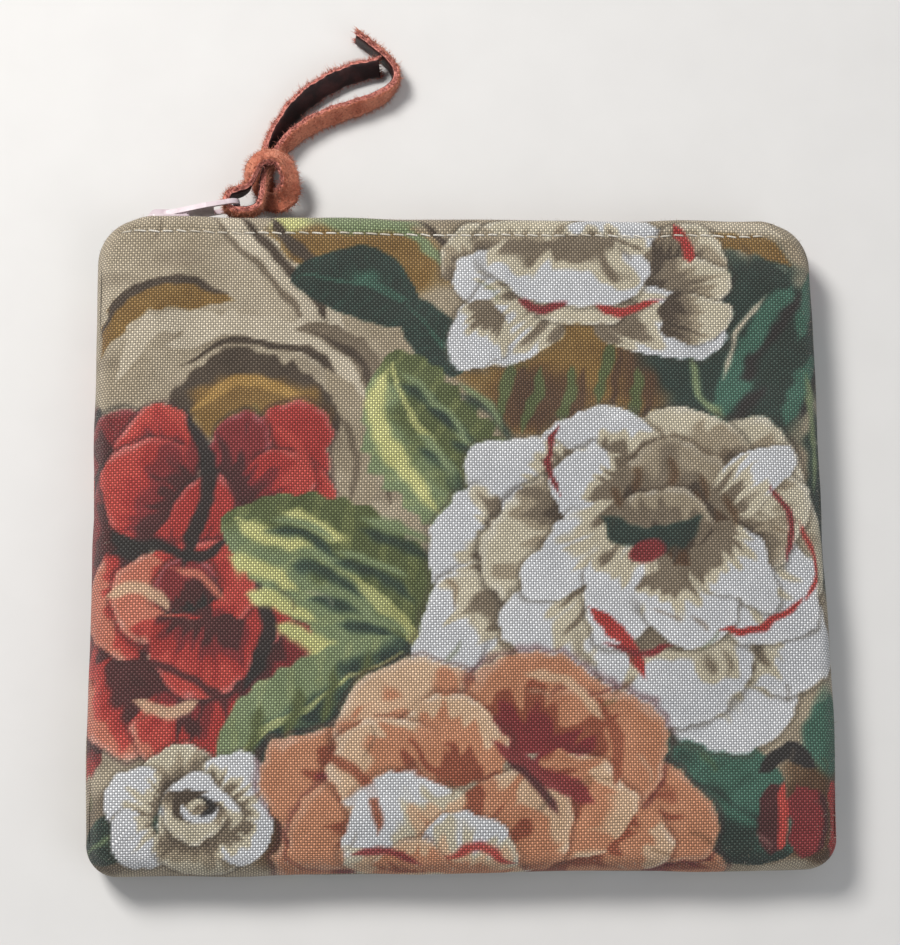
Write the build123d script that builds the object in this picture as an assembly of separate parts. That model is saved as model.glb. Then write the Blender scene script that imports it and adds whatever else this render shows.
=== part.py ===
from build123d import *
import math
import os

# A small flat fabric pouch with a zip along its top edge, lying on its back.
# Millimetres. X runs along the zip, Y runs from the bottom edge to the zip,
# Z runs from the back panel to the front panel. The origin is the middle of
# the back face, which the pouch lies on.

# Driving sizes of the pouch
POUCH_WIDTH = 130.0
POUCH_HEIGHT = 117.0
TOP_CORNER_RADIUS = 8.0
BOTTOM_CORNER_RADIUS = 5.0
EDGE_ROLL = 3.0

# The layers, from the outside in
CLOTH = 0.7
INTERFACING = 0.7
TAPE = 0.3
LINING = 0.3
HEM_DEPTH = 9.0
TAPE_DEPTH = 11.0
LINING_STEP = 4.5
SEAM_THREAD = 0.3

# The zip, a standard size 3 coil zip
MOUTH_END_GAP = 6.3
MOUTH_WALL = 2.0
CHAIN_END_GAP = 8.1
TAPE_LANE = 1.2
COIL_LANE = 1.1
COIL_WIDTH = 1.5
COIL_HEIGHT = 1.3
COIL_PITCH = 1.25
COIL_SPINE = 0.45
TOOTH_SHARE = 0.55
STOP_LENGTH = 1.1
STOP_HEIGHT = 1.5
STOP_OVERHANG = 0.2
STOP_ROUNDING = 0.3
BOTTOM_STOP_LENGTH = 1.5

# The slider and its pull
SLIDER_LENGTH = 7.8
SLIDER_WIDTH = 6.2
SLIDER_NOSE_WIDTH = 4.4
SLIDER_NOSE_LENGTH = 1.2
SLIDER_PLATE = 0.7
PLATE_CORNER = 0.6
PLATE_ROUNDING = 0.25
SLIDER_CLEARANCE = 0.3
SLIDER_SIDE_GAP = 0.4
FLANGE = 0.7
POST_WIDTH = 0.7
POST_LENGTH = 2.3
POST_FROM_NOSE = 0.4
CROWN_WIDTH = 1.6
CROWN_WALL = 0.5
CROWN_FROM_NOSE = 0.3
CROWN_FOOT = 1.0
CROWN_NOSE_ROUNDING = 1.3
CROWN_TAIL_ROUNDING = 0.7
PIVOT_FROM_NOSE = 3.4
PIVOT_RADIUS = 0.45
PIVOT_CLEARANCE = 0.08
PIVOT_LIFT = 0.1
SPRING_THICKNESS = 0.25
SPRING_GAP = 0.1
SPRING_INSET = 0.2
PULL_LENGTH = 13.6
PULL_THICKNESS = 0.9
PULL_HINGE_WIDTH = 3.6
PULL_END_WIDTH = 5.6
PULL_WINDOW = 3.7
PULL_EYE_BAR = 1.3
PULL_EYE_LENGTH = 3.6
PULL_RISE_DEG = 10.5
WINDOW_CLEARANCE = 0.25
PULL_ROUNDING = 2.0
EYE_ROUNDING = 0.4

# The leather lace
LACE_WIDTH = 3.9
LACE_THICKNESS = 1.4
LACE_CLEARANCE = 0.2
TAIL_FLOOR_GAP = 0.2
KNOT_FLOOR_GAP = 0.3
KNOT_HEIGHT = 8.7
KNOT_CORNER = 2.4
BEND_SHARE = 0.45

# Stitching
STITCH_PITCH = 2.45
STITCH_LENGTH = 2.1
STITCH_WIDTH = 0.45
STITCH_SINK = 0.3
GROOVE_MARGIN = 0.1
TOPSTITCH_FROM_EDGE = 3.3
TOPSTITCH_END_GAP = 4.0
CLOSING_RUN = 60.0

# Sizes and places that follow
MOUTH_WIDTH = SLIDER_WIDTH + 2 * SLIDER_SIDE_GAP
POUCH_THICKNESS = MOUTH_WIDTH + 2 * MOUTH_WALL
SEAM_Z = POUCH_THICKNESS / 2
TOP_Y = POUCH_HEIGHT / 2
TAPE_IN = CLOTH + INTERFACING
TAPE_OUT = TAPE_IN + TAPE
LINING_OUT = TAPE_OUT + LINING
TAPE_FACE_Y = TOP_Y - TAPE_IN
COIL_TOP_Y = TAPE_FACE_Y + COIL_HEIGHT
CHAIN_START = -POUCH_WIDTH / 2 + CHAIN_END_GAP
CHAIN_END = POUCH_WIDTH / 2 - CHAIN_END_GAP - STOP_LENGTH
SLIDER_NOSE_X = CHAIN_START + SLIDER_CLEARANCE
SLIDER_TAIL_X = SLIDER_NOSE_X + SLIDER_LENGTH
PLATE_UNDER_Y = COIL_TOP_Y + SLIDER_CLEARANCE
PLATE_TOP_Y = PLATE_UNDER_Y + SLIDER_PLATE
PIVOT_X = SLIDER_NOSE_X + PIVOT_FROM_NOSE
PIVOT_Y = PLATE_TOP_Y + PIVOT_LIFT + PIVOT_RADIUS
EYE_BAR_AT = PULL_LENGTH - PULL_EYE_BAR / 2

# The lace's routes seen from the front, chosen by hand, from the middle of the hinge
LOOP_ROUTE = [(15.4, 6.25), (14.6, 4.15), (10.9, 4.05), (10.9, 0.85), (16.6, 0.85), (17.4, 6.25)]
UPPER_TAIL_ROUTE = [
    (18.4, 11.25),
    (19.6, 16.65),
    (22.2, 21.25),
    (25.8, 25.25),
    (30.6, 28.45),
    (35.2, 30.35),
    (38.9, 31.05),
]
LOWER_TAIL_ROUTE = [
    (20.8, 11.25),
    (22, 15.65),
    (25.2, 19.05),
    (30, 21.65),
    (35.4, 23.45),
    (40.6, 25.45),
    (43.2, 29.05),
    (40.8, 33.05),
    (35, 37.05),
]
KNOT_CENTRE = (18.8, 8.85)
KNOT_SIZE = (9.4, 7.8)


def pouch_form(inset):
    """The whole pouch as one rounded block, with every outside face moved in by inset."""
    outline = Rectangle(POUCH_WIDTH - 2 * inset, POUCH_HEIGHT - 2 * inset)
    outline = fillet(outline.vertices().group_by(Axis.Y)[-1], TOP_CORNER_RADIUS - inset)
    outline = fillet(outline.vertices().group_by(Axis.Y)[0], BOTTOM_CORNER_RADIUS - inset)
    block = extrude(Pos(0, 0, inset) * outline, POUCH_THICKNESS - 2 * inset)
    faces = block.faces().sort_by(Axis.Z)
    return fillet(faces[0].edges() + faces[-1].edges(), EDGE_ROLL - inset)


def span(x0, x1, y0, y1, z0, z1):
    """A box between two corners."""
    middle = Pos((x0 + x1) / 2, (y0 + y1) / 2, (z0 + z1) / 2)
    return middle * Box(x1 - x0, y1 - y0, z1 - z0)


def half_space(front, low_y, high_y, gap=0.0):
    """The front or the back half of the pouch's room, between two heights."""
    reach = POUCH_WIDTH
    if front:
        return span(-reach, reach, low_y, high_y, SEAM_Z + gap, POUCH_THICKNESS + 1)
    return span(-reach, reach, low_y, high_y, -1, SEAM_Z - gap)


def mouth_cut():
    """The long slot in the top wall that the zip fills."""
    end = POUCH_WIDTH / 2 - MOUTH_END_GAP
    half = MOUTH_WIDTH / 2
    return span(-end, end, TOP_Y - LINING_OUT, TOP_Y + 1, SEAM_Z - half, SEAM_Z + half)


def topstitch_row(front):
    """Stitches sunk in the hem, one row parallel to the top edge."""
    end = POUCH_WIDTH / 2 - TOPSTITCH_END_GAP
    count = int(2 * end / STITCH_PITCH)
    z = POUCH_THICKNESS - STITCH_SINK if front else 0.0
    height = STITCH_WIDTH if front else STITCH_SINK
    stitch = extrude(SlotOverall(STITCH_LENGTH, STITCH_WIDTH), height)
    row = []
    for i in range(count):
        x = (i - (count - 1) / 2) * STITCH_PITCH
        row.append(Pos(x, TOP_Y - TOPSTITCH_FROM_EDGE, z) * stitch)
    return Compound(children=row)


def topstitch_groove(front):
    """The shallow trough that the tight stitches pull into the hem."""
    end = POUCH_WIDTH / 2 - TOPSTITCH_END_GAP
    y = TOP_Y - TOPSTITCH_FROM_EDGE
    half = STITCH_WIDTH / 2 + GROOVE_MARGIN
    if front:
        top = POUCH_THICKNESS
        return span(-end, end, y - half, y + half, top - STITCH_SINK, top + 1)
    return span(-end, end, y - half, y + half, -1, STITCH_SINK)


def seam_thread(forms):
    """One thread along the sides and the bottom, between the two panels' seam edges."""
    ring = forms["thread_out"] - forms["thread_in"]
    half = SEAM_THREAD / 2
    reach = POUCH_WIDTH
    below_mouth = TOP_Y - TOP_CORNER_RADIUS
    return ring & span(-reach, reach, -TOP_Y - 1, below_mouth, SEAM_Z - half, SEAM_Z + half)


def outer_panel(forms, thread, front):
    """Printed canvas with its side walls, and the hem turned in along the mouth."""
    cloth = (forms["outside"] - forms["cloth"]) & half_space(front, -TOP_Y - 1, TOP_Y + 1)
    hem = (forms["cloth"] - forms["tape_in"]) & half_space(front, TOP_Y - HEM_DEPTH, TOP_Y + 1)
    return cloth + hem - mouth_cut() - thread - topstitch_groove(front)


def interfacing(forms, front):
    """Fused wadding behind the canvas, up to the edge of the turned hem."""
    layer = forms["cloth"] - forms["tape_in"]
    return layer & half_space(front, -TOP_Y - 1, TOP_Y - HEM_DEPTH)


def lining(forms, front):
    """Thin lining cloth, which stops short of the zip teeth."""
    layer = forms["tape_out"] - forms["lining"]
    return layer & half_space(front, -TOP_Y - 1, TOP_Y - LINING_STEP)


def zip_tape(forms, front):
    """Woven tape: across half the mouth, then down inside the panel between hem and lining."""
    layer = forms["tape_in"] - forms["tape_out"]
    return layer & half_space(front, TOP_Y - TAPE_DEPTH, TOP_Y + 1, TAPE_LANE / 2)


def coil(front):
    """Half of the tooth chain, as a comb: a spine along the tape and one bar per turn."""
    side = 1 if front else -1
    inner = COIL_LANE / 2
    count = int((CHAIN_END - CHAIN_START) / COIL_PITCH)
    tooth = COIL_PITCH * TOOTH_SHARE
    points = [(CHAIN_START, inner + COIL_WIDTH)]
    for i in range(count):
        x = CHAIN_START + i * COIL_PITCH
        points.append((x, inner))
        points.append((x + tooth, inner))
        points.append((x + tooth, inner + COIL_WIDTH - COIL_SPINE))
        points.append((x + COIL_PITCH, inner + COIL_WIDTH - COIL_SPINE))
    points.append((CHAIN_START + count * COIL_PITCH, inner + COIL_WIDTH))
    comb = [Vector(x, TAPE_FACE_Y, SEAM_Z + side * z) for x, z in points]
    face = make_face(Polyline(*comb, close=True))
    return extrude(face, COIL_HEIGHT, dir=(0, 1, 0))


def top_stop(front):
    """A crimped metal stop on the end of one coil, which halts the slider when closed."""
    inner = COIL_LANE / 2
    outer = inner + COIL_WIDTH + STOP_OVERHANG
    x0 = CHAIN_START - STOP_LENGTH
    z0, z1 = (inner, outer) if front else (-outer, -inner)
    stop = span(x0, CHAIN_START, TAPE_FACE_Y, TAPE_FACE_Y + STOP_HEIGHT, SEAM_Z + z0, SEAM_Z + z1)
    return fillet(stop.faces().sort_by(Axis.Y)[-1].edges(), STOP_ROUNDING)


def bottom_stop():
    """One wide stop across both coils at the far end of the zip."""
    half = COIL_LANE / 2 + COIL_WIDTH + STOP_OVERHANG
    x0 = CHAIN_START + int((CHAIN_END - CHAIN_START) / COIL_PITCH) * COIL_PITCH
    y1 = TAPE_FACE_Y + STOP_HEIGHT
    stop = span(x0, x0 + BOTTOM_STOP_LENGTH, TAPE_FACE_Y, y1, SEAM_Z - half, SEAM_Z + half)
    return fillet(stop.faces().sort_by(Axis.Y)[-1].edges(), STOP_ROUNDING)


def slider_plate(low_y, high_y):
    """A flat plate of the slider, with a narrower rounded nose."""
    nose = SLIDER_NOSE_WIDTH / 2
    half = SLIDER_WIDTH / 2
    shoulder = SLIDER_NOSE_X + SLIDER_NOSE_LENGTH
    outline = [
        (SLIDER_NOSE_X, -nose),
        (shoulder, -half),
        (SLIDER_TAIL_X, -half),
        (SLIDER_TAIL_X, half),
        (shoulder, half),
        (SLIDER_NOSE_X, nose),
    ]
    points = [Vector(x, low_y, SEAM_Z + z) for x, z in outline]
    plate = extrude(make_face(Polyline(*points, close=True)), high_y - low_y, dir=(0, 1, 0))
    return fillet(plate.edges().filter_by(Axis.Y), PLATE_CORNER)


def slider_body():
    """The slider's two plates, the post between them and the flanges that guide the coils."""
    under_top = TAPE_FACE_Y - TAPE - SLIDER_CLEARANCE
    upper = slider_plate(PLATE_UNDER_Y, PLATE_TOP_Y)
    upper = fillet(upper.faces().sort_by(Axis.Y)[-1].edges(), PLATE_ROUNDING)
    lower = slider_plate(under_top - SLIDER_PLATE, under_top)
    x0 = SLIDER_NOSE_X + POST_FROM_NOSE
    half_post = POST_WIDTH / 2
    post = span(x0, x0 + POST_LENGTH, under_top, PLATE_UNDER_Y, SEAM_Z - half_post, SEAM_Z + half_post)
    body = upper + lower + post
    half = SLIDER_WIDTH / 2
    shoulder = SLIDER_NOSE_X + SLIDER_NOSE_LENGTH + PLATE_CORNER
    tail = SLIDER_TAIL_X - PLATE_CORNER
    flange_y = TAPE_FACE_Y + SLIDER_CLEARANCE
    for z0 in (SEAM_Z - half, SEAM_Z + half - FLANGE):
        body += span(shoulder, tail, flange_y, PLATE_UNDER_Y, z0, z0 + FLANGE)
    return body


def slider_crown():
    """The hooked cap on the upper plate that holds the pull's pivot bar."""
    bore = PIVOT_RADIUS + PIVOT_CLEARANCE
    top = PIVOT_Y + bore + CROWN_WALL
    x0 = SLIDER_NOSE_X + CROWN_FROM_NOSE
    x1 = PIVOT_X + bore + CROWN_WALL
    block = span(x0, x1, PLATE_TOP_Y, top, SEAM_Z - CROWN_WIDTH / 2, SEAM_Z + CROWN_WIDTH / 2)
    ends = block.edges().filter_by(Axis.Z).group_by(Axis.Y)[-1].sort_by(Axis.X)
    block = fillet(ends[0], CROWN_NOSE_ROUNDING)
    ends = block.edges().filter_by(Axis.Z).group_by(Axis.X)[-1].sort_by(Axis.Y)
    block = fillet(ends[-1], CROWN_TAIL_ROUNDING)
    hole = Pos(PIVOT_X, PIVOT_Y, SEAM_Z) * Cylinder(bore, CROWN_WIDTH + 1)
    slot_top = PLATE_TOP_Y + SPRING_THICKNESS + SPRING_GAP
    slot = span(x0 + CROWN_FOOT, x1 + 1, PLATE_TOP_Y, slot_top, SEAM_Z - CROWN_WIDTH, SEAM_Z + CROWN_WIDTH)
    way_in = span(PIVOT_X - bore, PIVOT_X + bore, PLATE_TOP_Y, PIVOT_Y, SEAM_Z - CROWN_WIDTH, SEAM_Z + CROWN_WIDTH)
    return block - hole - slot - way_in


def lock_spring():
    """The small leaf spring under the crown that keeps the pivot bar in."""
    x0 = SLIDER_NOSE_X + CROWN_FROM_NOSE + CROWN_FOOT
    x1 = PIVOT_X - PIVOT_RADIUS - WINDOW_CLEARANCE
    z = CROWN_WIDTH / 2 - SPRING_INSET
    return span(x0, x1, PLATE_TOP_Y, PLATE_TOP_Y + SPRING_THICKNESS, SEAM_Z - z, SEAM_Z + z)


def place_on_pull(shape):
    """Carries a shape from the pull's own frame, pivot at the origin, to its resting place."""
    return Pos(PIVOT_X, PIVOT_Y, SEAM_Z) * Rot(0, 0, PULL_RISE_DEG) * shape


def pull_tab():
    """The flat pull: a window round the crown at one end, and a wide eye for the lace."""
    hinge = PULL_HINGE_WIDTH / 2
    wide = PULL_END_WIDTH / 2
    flare = PULL_LENGTH - PULL_EYE_LENGTH - 2 * PULL_EYE_BAR
    outline = [(0, -hinge), (flare, -wide), (PULL_LENGTH, -wide), (PULL_LENGTH, wide), (flare, wide), (0, hinge)]
    points = [Vector(s, -PULL_THICKNESS / 2, z) for s, z in outline]
    plate = extrude(make_face(Polyline(*points, close=True)), PULL_THICKNESS, dir=(0, 1, 0))
    ends = plate.edges().filter_by(Axis.Y).group_by(Axis.X)[-1]
    plate = fillet(ends, PULL_ROUNDING)
    half_window = CROWN_WIDTH / 2 + WINDOW_CLEARANCE
    window = span(0, PULL_WINDOW, -1, 1, -half_window, half_window)
    eye_start = EYE_BAR_AT - PULL_EYE_BAR / 2 - PULL_EYE_LENGTH
    half_eye = LACE_WIDTH / 2 + LACE_CLEARANCE
    eye = span(eye_start, eye_start + PULL_EYE_LENGTH, -1, 1, -half_eye, half_eye)
    eye = fillet(eye.edges().filter_by(Axis.Y), EYE_ROUNDING)
    bar = Cylinder(PIVOT_RADIUS, PULL_HINGE_WIDTH)
    return place_on_pull(plate - window - eye + bar)


def lace_run(name, route, middle_z):
    """A flat strip on edge along a route of straight runs joined by tangent arcs."""
    radii = []
    for a, b, c in zip(route, route[1:], route[2:]):
        one = Vector(b[0] - a[0], b[1] - a[1])
        two = Vector(c[0] - b[0], c[1] - b[1])
        half_turn = math.radians(one.get_angle(two)) / 2
        radii.append(BEND_SHARE * min(one.length, two.length) / math.tan(half_turn))
    path = FilletPolyline(*[(PIVOT_X + x, PIVOT_Y + y, middle_z) for x, y in route], radius=radii)
    start = path @ 0
    along = path % 0
    section = Plane(origin=start, x_dir=(0, 0, 1), z_dir=along) * Rectangle(LACE_WIDTH, LACE_THICKNESS)
    strip = sweep(section, path=path)
    print(name, "radii", [round(r, 1) for r in radii], "length", round(path.length, 1))
    print(name, "volume over section times length", round(strip.volume / (path.length * section.area), 4))
    return strip


def lace_knot():
    """The whole knot as one rounded block, a little clear of the surface below."""
    block = Box(KNOT_SIZE[0], KNOT_SIZE[1], KNOT_HEIGHT)
    block = fillet(block.edges(), KNOT_CORNER)
    middle_z = KNOT_FLOOR_GAP + KNOT_HEIGHT / 2
    return Pos(PIVOT_X + KNOT_CENTRE[0], PIVOT_Y + KNOT_CENTRE[1], middle_z) * block


def lining_closing_stitches():
    """Stitches that close the turning gap in the bottom of the lining."""
    y0 = -TOP_Y + LINING_OUT
    count = int(CLOSING_RUN / STITCH_PITCH)
    row = []
    for i in range(count):
        x = (i - (count - 1) / 2) * STITCH_PITCH
        z0 = SEAM_Z - STITCH_WIDTH / 2
        row.append(span(x - STITCH_LENGTH / 2, x + STITCH_LENGTH / 2, y0, y0 + STITCH_SINK, z0, z0 + STITCH_WIDTH))
    return Compound(children=row)


def all_nodes():
    """Every node of the pouch by name."""
    forms = {
        "outside": pouch_form(0),
        "thread_out": pouch_form((CLOTH - SEAM_THREAD) / 2),
        "thread_in": pouch_form((CLOTH + SEAM_THREAD) / 2),
        "cloth": pouch_form(CLOTH),
        "tape_in": pouch_form(TAPE_IN),
        "tape_out": pouch_form(TAPE_OUT),
        "lining": pouch_form(LINING_OUT),
    }
    thread = seam_thread(forms)
    knot = lace_knot()
    tail_z = TAIL_FLOOR_GAP + LACE_WIDTH / 2
    nodes = {
        "seam_thread": thread,
        "lining_closing_stitches": lining_closing_stitches(),
        "slider_body": slider_body(),
        "slider_crown": slider_crown(),
        "lock_spring": lock_spring(),
        "pull_tab": pull_tab(),
        "bottom_stop": bottom_stop(),
        "lace_knot": knot,
        "lace_loop": lace_run("loop", LOOP_ROUTE, SEAM_Z) - knot,
        "lace_upper_tail": lace_run("upper tail", UPPER_TAIL_ROUTE, tail_z) - knot,
        "lace_lower_tail": lace_run("lower tail", LOWER_TAIL_ROUTE, tail_z) - knot,
    }
    for side, front in (("front", True), ("back", False)):
        nodes[side + "_panel"] = outer_panel(forms, thread, front)
        nodes[side + "_interfacing"] = interfacing(forms, front)
        nodes[side + "_lining"] = lining(forms, front)
        nodes[side + "_zipper_tape"] = zip_tape(forms, front)
        nodes[side + "_coil"] = coil(front)
        nodes[side + "_top_stop"] = top_stop(front)
        nodes[side + "_topstitch"] = topstitch_row(front)
    return nodes


os.makedirs("parts", exist_ok=True)
for node, shape in all_nodes().items():
    export_step(shape, "parts/" + node + ".step")
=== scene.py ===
# %% [markdown]
# A small flat fabric pouch lies on its back with its zip closed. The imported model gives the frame: it holds
# the bodies that move and the solids that touch. Everything soft or detailed is made here around it. Sizes
# are in millimetres until a mesh is made. The frame comes first, because later pieces are measured from it.

# %% Load the frame and keep its size
import math
import bpy
import numpy as np
from mathutils import Matrix, Vector


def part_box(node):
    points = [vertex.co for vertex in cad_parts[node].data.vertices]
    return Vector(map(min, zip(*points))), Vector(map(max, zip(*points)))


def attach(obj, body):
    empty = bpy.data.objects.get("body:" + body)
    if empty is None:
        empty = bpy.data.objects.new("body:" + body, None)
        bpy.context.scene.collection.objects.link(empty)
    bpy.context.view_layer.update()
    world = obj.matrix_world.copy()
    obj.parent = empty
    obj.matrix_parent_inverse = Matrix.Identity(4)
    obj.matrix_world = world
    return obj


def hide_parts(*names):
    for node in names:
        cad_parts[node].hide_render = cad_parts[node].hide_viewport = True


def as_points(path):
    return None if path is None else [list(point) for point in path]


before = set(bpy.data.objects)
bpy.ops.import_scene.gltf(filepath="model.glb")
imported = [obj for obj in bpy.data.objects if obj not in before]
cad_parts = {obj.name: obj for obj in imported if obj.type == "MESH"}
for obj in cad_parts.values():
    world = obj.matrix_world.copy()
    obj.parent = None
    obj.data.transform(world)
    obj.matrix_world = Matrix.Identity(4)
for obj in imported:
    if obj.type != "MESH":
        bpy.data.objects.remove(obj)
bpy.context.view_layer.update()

MM = 0.001
SHORT_OF_EDGE = 0.17  # the back panel's solid ends this far inside the pouch's outline at the mouth
far_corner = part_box("front_panel")[1]
HALF_WIDTH = far_corner[0] / MM
HALF_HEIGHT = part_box("back_panel")[1][1] / MM + SHORT_OF_EDGE
THICKNESS = far_corner[2] / MM
SEAM_Z = THICKNESS / 2
print("pouch half width, half height, thickness in mm", HALF_WIDTH, round(HALF_HEIGHT, 2), THICKNESS)

# %% [markdown]
# Shader maths reads best as ordinary sums. A wrapper round a socket turns + - * / into Math nodes, so that a
# formula for a weave or a grain stands in the script as it would on paper. Colours can't go through Math
# nodes, which would turn them grey, so they are blended with Mix nodes by a method of their own.

# %% A wrapper for sockets
class Value:
    """A number that the shader works out at each point of a surface."""

    def __init__(self, finish, socket):
        self.finish, self.socket = finish, socket

    def maths(self, operation, other=None, swap=False):
        node = self.finish.tree.nodes.new("ShaderNodeMath")
        node.operation = operation
        values = [self] if other is None else [other, self] if swap else [self, other]
        for slot, value in zip(node.inputs, values):
            self.finish.feed(slot, value)
        return Value(self.finish, node.outputs[0])

    def __add__(self, other):
        return self.maths("ADD", other)

    def __sub__(self, other):
        return self.maths("SUBTRACT", other)

    def __rsub__(self, other):
        return self.maths("SUBTRACT", other, swap=True)

    def __mul__(self, other):
        return self.maths("MULTIPLY", other)

    def __truediv__(self, other):
        return self.maths("DIVIDE", other)

    def __pow__(self, other):
        return self.maths("POWER", other)

    __radd__ = __add__
    __rmul__ = __mul__

    def step(self, start, end):
        """0 below start, 1 above end, smooth between."""
        sockets = {"Value": self, "From Min": start, "From Max": end}
        made = self.finish.node("ShaderNodeMapRange", {"interpolation_type": "SMOOTHSTEP"}, sockets)
        return Value(self.finish, made.outputs[0])


# %% A maker for materials and their nodes
class Finish:
    """A material under construction, with one Principled shader."""

    def __init__(self, name, **constants):
        self.material = bpy.data.materials.new(name)
        self.material.use_nodes = True
        self.tree = self.material.node_tree
        self.shader = self.tree.nodes["Principled BSDF"]
        for socket, value in constants.items():
            self.shader.inputs[socket.replace("_", " ")].default_value = value

    def feed(self, slot, value):
        if isinstance(value, Value):
            value = value.socket
        if isinstance(value, bpy.types.NodeSocket):
            self.tree.links.new(value, slot)
        elif isinstance(value, tuple) and len(value) == 3 and slot.type == "RGBA":
            slot.default_value = (*value, 1.0)
        else:
            slot.default_value = value

    def node(self, kind, settings=None, sockets=None):
        """Any node: its type, its settings, then the values or links of its sockets."""
        made = self.tree.nodes.new(kind)
        for key, value in (settings or {}).items():
            setattr(made, key, value)
        for key, value in (sockets or {}).items():
            self.feed(made.inputs[key], value)
        return made

    def value(self, socket):
        return Value(self, socket)

    def mix(self, factor, first, second, blend="MIX"):
        """Blends two colours."""
        made = self.node("ShaderNodeMix", {"data_type": "RGBA", "blend_type": blend})
        self.feed(made.inputs[0], factor)
        self.feed(made.inputs[6], first)
        self.feed(made.inputs[7], second)
        return made.outputs[2]

    def place(self, space="Object"):
        """The point's coordinates, in metres, or the cloth's own in millimetres."""
        if space == "Cloth":
            return self.node("ShaderNodeAttribute", {"attribute_name": "cloth"}).outputs["Vector"]
        return self.node("ShaderNodeTexCoord").outputs[space]

    def axes(self, place):
        parts = self.node("ShaderNodeSeparateXYZ", None, {0: place}).outputs
        return [self.value(parts[i]) for i in range(3)]

    def noise(self, place, scale, detail=3.0, rough=0.5):
        sockets = {"Vector": place, "Scale": scale, "Detail": detail, "Roughness": rough}
        return self.value(self.node("ShaderNodeTexNoise", None, sockets).outputs["Fac"])

    def bump(self, height, distance, strength=1.0):
        sockets = {"Height": height, "Distance": distance, "Strength": strength}
        self.set("Normal", self.node("ShaderNodeBump", None, sockets).outputs[0])

    def set(self, socket, value):
        self.feed(self.shader.inputs[socket], value)


def dressed(piece, *finishes):
    """Gives a piece its materials, in the order of its faces' material numbers."""
    piece.data.materials.clear()
    for finish in finishes:
        piece.data.materials.append(finish.material)
    return piece

# %% [markdown]
# The camera stands above the pouch and a little towards its bottom edge, as a person looks down at a thing on
# a table. A longer lens from further off keeps the outline nearly square. It is set from a position, the
# point it looks at and a slight roll, which is easier to read than three angles.

# %% Set the camera
CAMERA_AT = Vector((-0.0332, -0.0748, 0.4000))
LOOKS_AT = Vector((-0.0021, 0.0116, 0.0080))
ROLL = -0.014
LENS = 85.8
forward = (LOOKS_AT - CAMERA_AT).normalized()
right = forward.cross(Vector((0, 1, 0))).normalized()
up = right.cross(forward)
right_rolled = right * math.cos(ROLL) + up * math.sin(ROLL)
up_rolled = up * math.cos(ROLL) - right * math.sin(ROLL)
turn = Matrix((right_rolled, up_rolled, -forward)).transposed().to_4x4()
camera_data = bpy.data.cameras.new("camera")
camera_data.lens = LENS
camera_data.sensor_width = 36.0
camera_data.clip_start = 0.01
camera = bpy.data.objects.new("camera", camera_data)
camera.matrix_world = Matrix.Translation(CAMERA_AT) @ turn
bpy.context.scene.collection.objects.link(camera)
bpy.context.scene.camera = camera
print("camera distance", round((LOOKS_AT - CAMERA_AT).length, 3), "m")

# %% [markdown]
# The pull carries a short flat leather lace, tied in a loose overhand knot. A lace is a fixed length of
# something that bends easily one way only, so it is made as two strands from the pull's eye to their bare
# ends. Each strand follows one smooth NURBS curve, and each point of it has a lean that says how far the
# lace's width tips from upright. A ribbon swept along the curve keeps its width and thickness all the way.

# %% Routes of the two strands
LACE_WIDTH = 3.9
LACE_THICKNESS = 1.4
# x, y, z in millimetres, and the lean of the width from upright, in degrees. Both start in the pull's eye.
STRAIGHT_STRAND = [
    (-42.3, 62.4, 5.5, 0),
    (-42.2, 61.2, 5.5, 0),
    (-39.2, 60.6, 5.5, 0),
    (-36.5, 61.4, 5.5, 0),
    (-35.8, 64.0, 5.2, 0),
    (-35.5, 67.4, 4.4, -4),
    (-34.6, 70.6, 3.1, -8),
    (-33.0, 73.4, 2.4, -14),
    (-31.0, 76.0, 2.3, -20),
    (-28.0, 78.6, 2.3, -26),
    (-23.2, 81.2, 2.3, -28),
    (-17.8, 83.0, 2.3, -24),
    (-12.6, 85.4, 2.2, -14),
    (-10.2, 89.0, 2.2, 0),
    (-12.6, 93.0, 2.3, 0),
    (-18.0, 96.9, 2.3, 0),
]
WRAPPED_STRAND = [
    (-42.3, 62.4, 5.5, 0),
    (-42.2, 63.9, 5.5, 0),
    (-40.6, 64.6, 5.5, 0),
    (-38.3, 65.5, 5.7, 12),
    (-37.8, 68.0, 6.2, 34),
    (-37.0, 70.4, 6.6, 42),
    (-34.6, 71.5, 6.8, 46),
    (-32.2, 70.7, 6.7, 48),
    (-30.8, 68.3, 6.3, 52),
    (-30.6, 65.6, 5.3, 58),
    (-31.8, 63.7, 3.8, 66),
    (-33.6, 63.9, 2.3, 76),
    (-35.0, 65.6, 1.6, 80),
    (-36.0, 68.2, 1.7, 70),
    (-36.0, 71.0, 2.0, 34),
    (-35.2, 73.4, 2.2, 0),
    (-33.6, 76.6, 2.2, -26),
    (-31.0, 81.0, 2.2, -36),
    (-27.4, 85.0, 2.2, -42),
    (-22.6, 88.2, 2.2, -44),
    (-18.0, 90.2, 2.2, -42),
    (-14.0, 91.0, 2.2, -38),
]
EYE_EXIT = tuple(round(c * MM, 4) for c in STRAIGHT_STRAND[0][:3])


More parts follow.
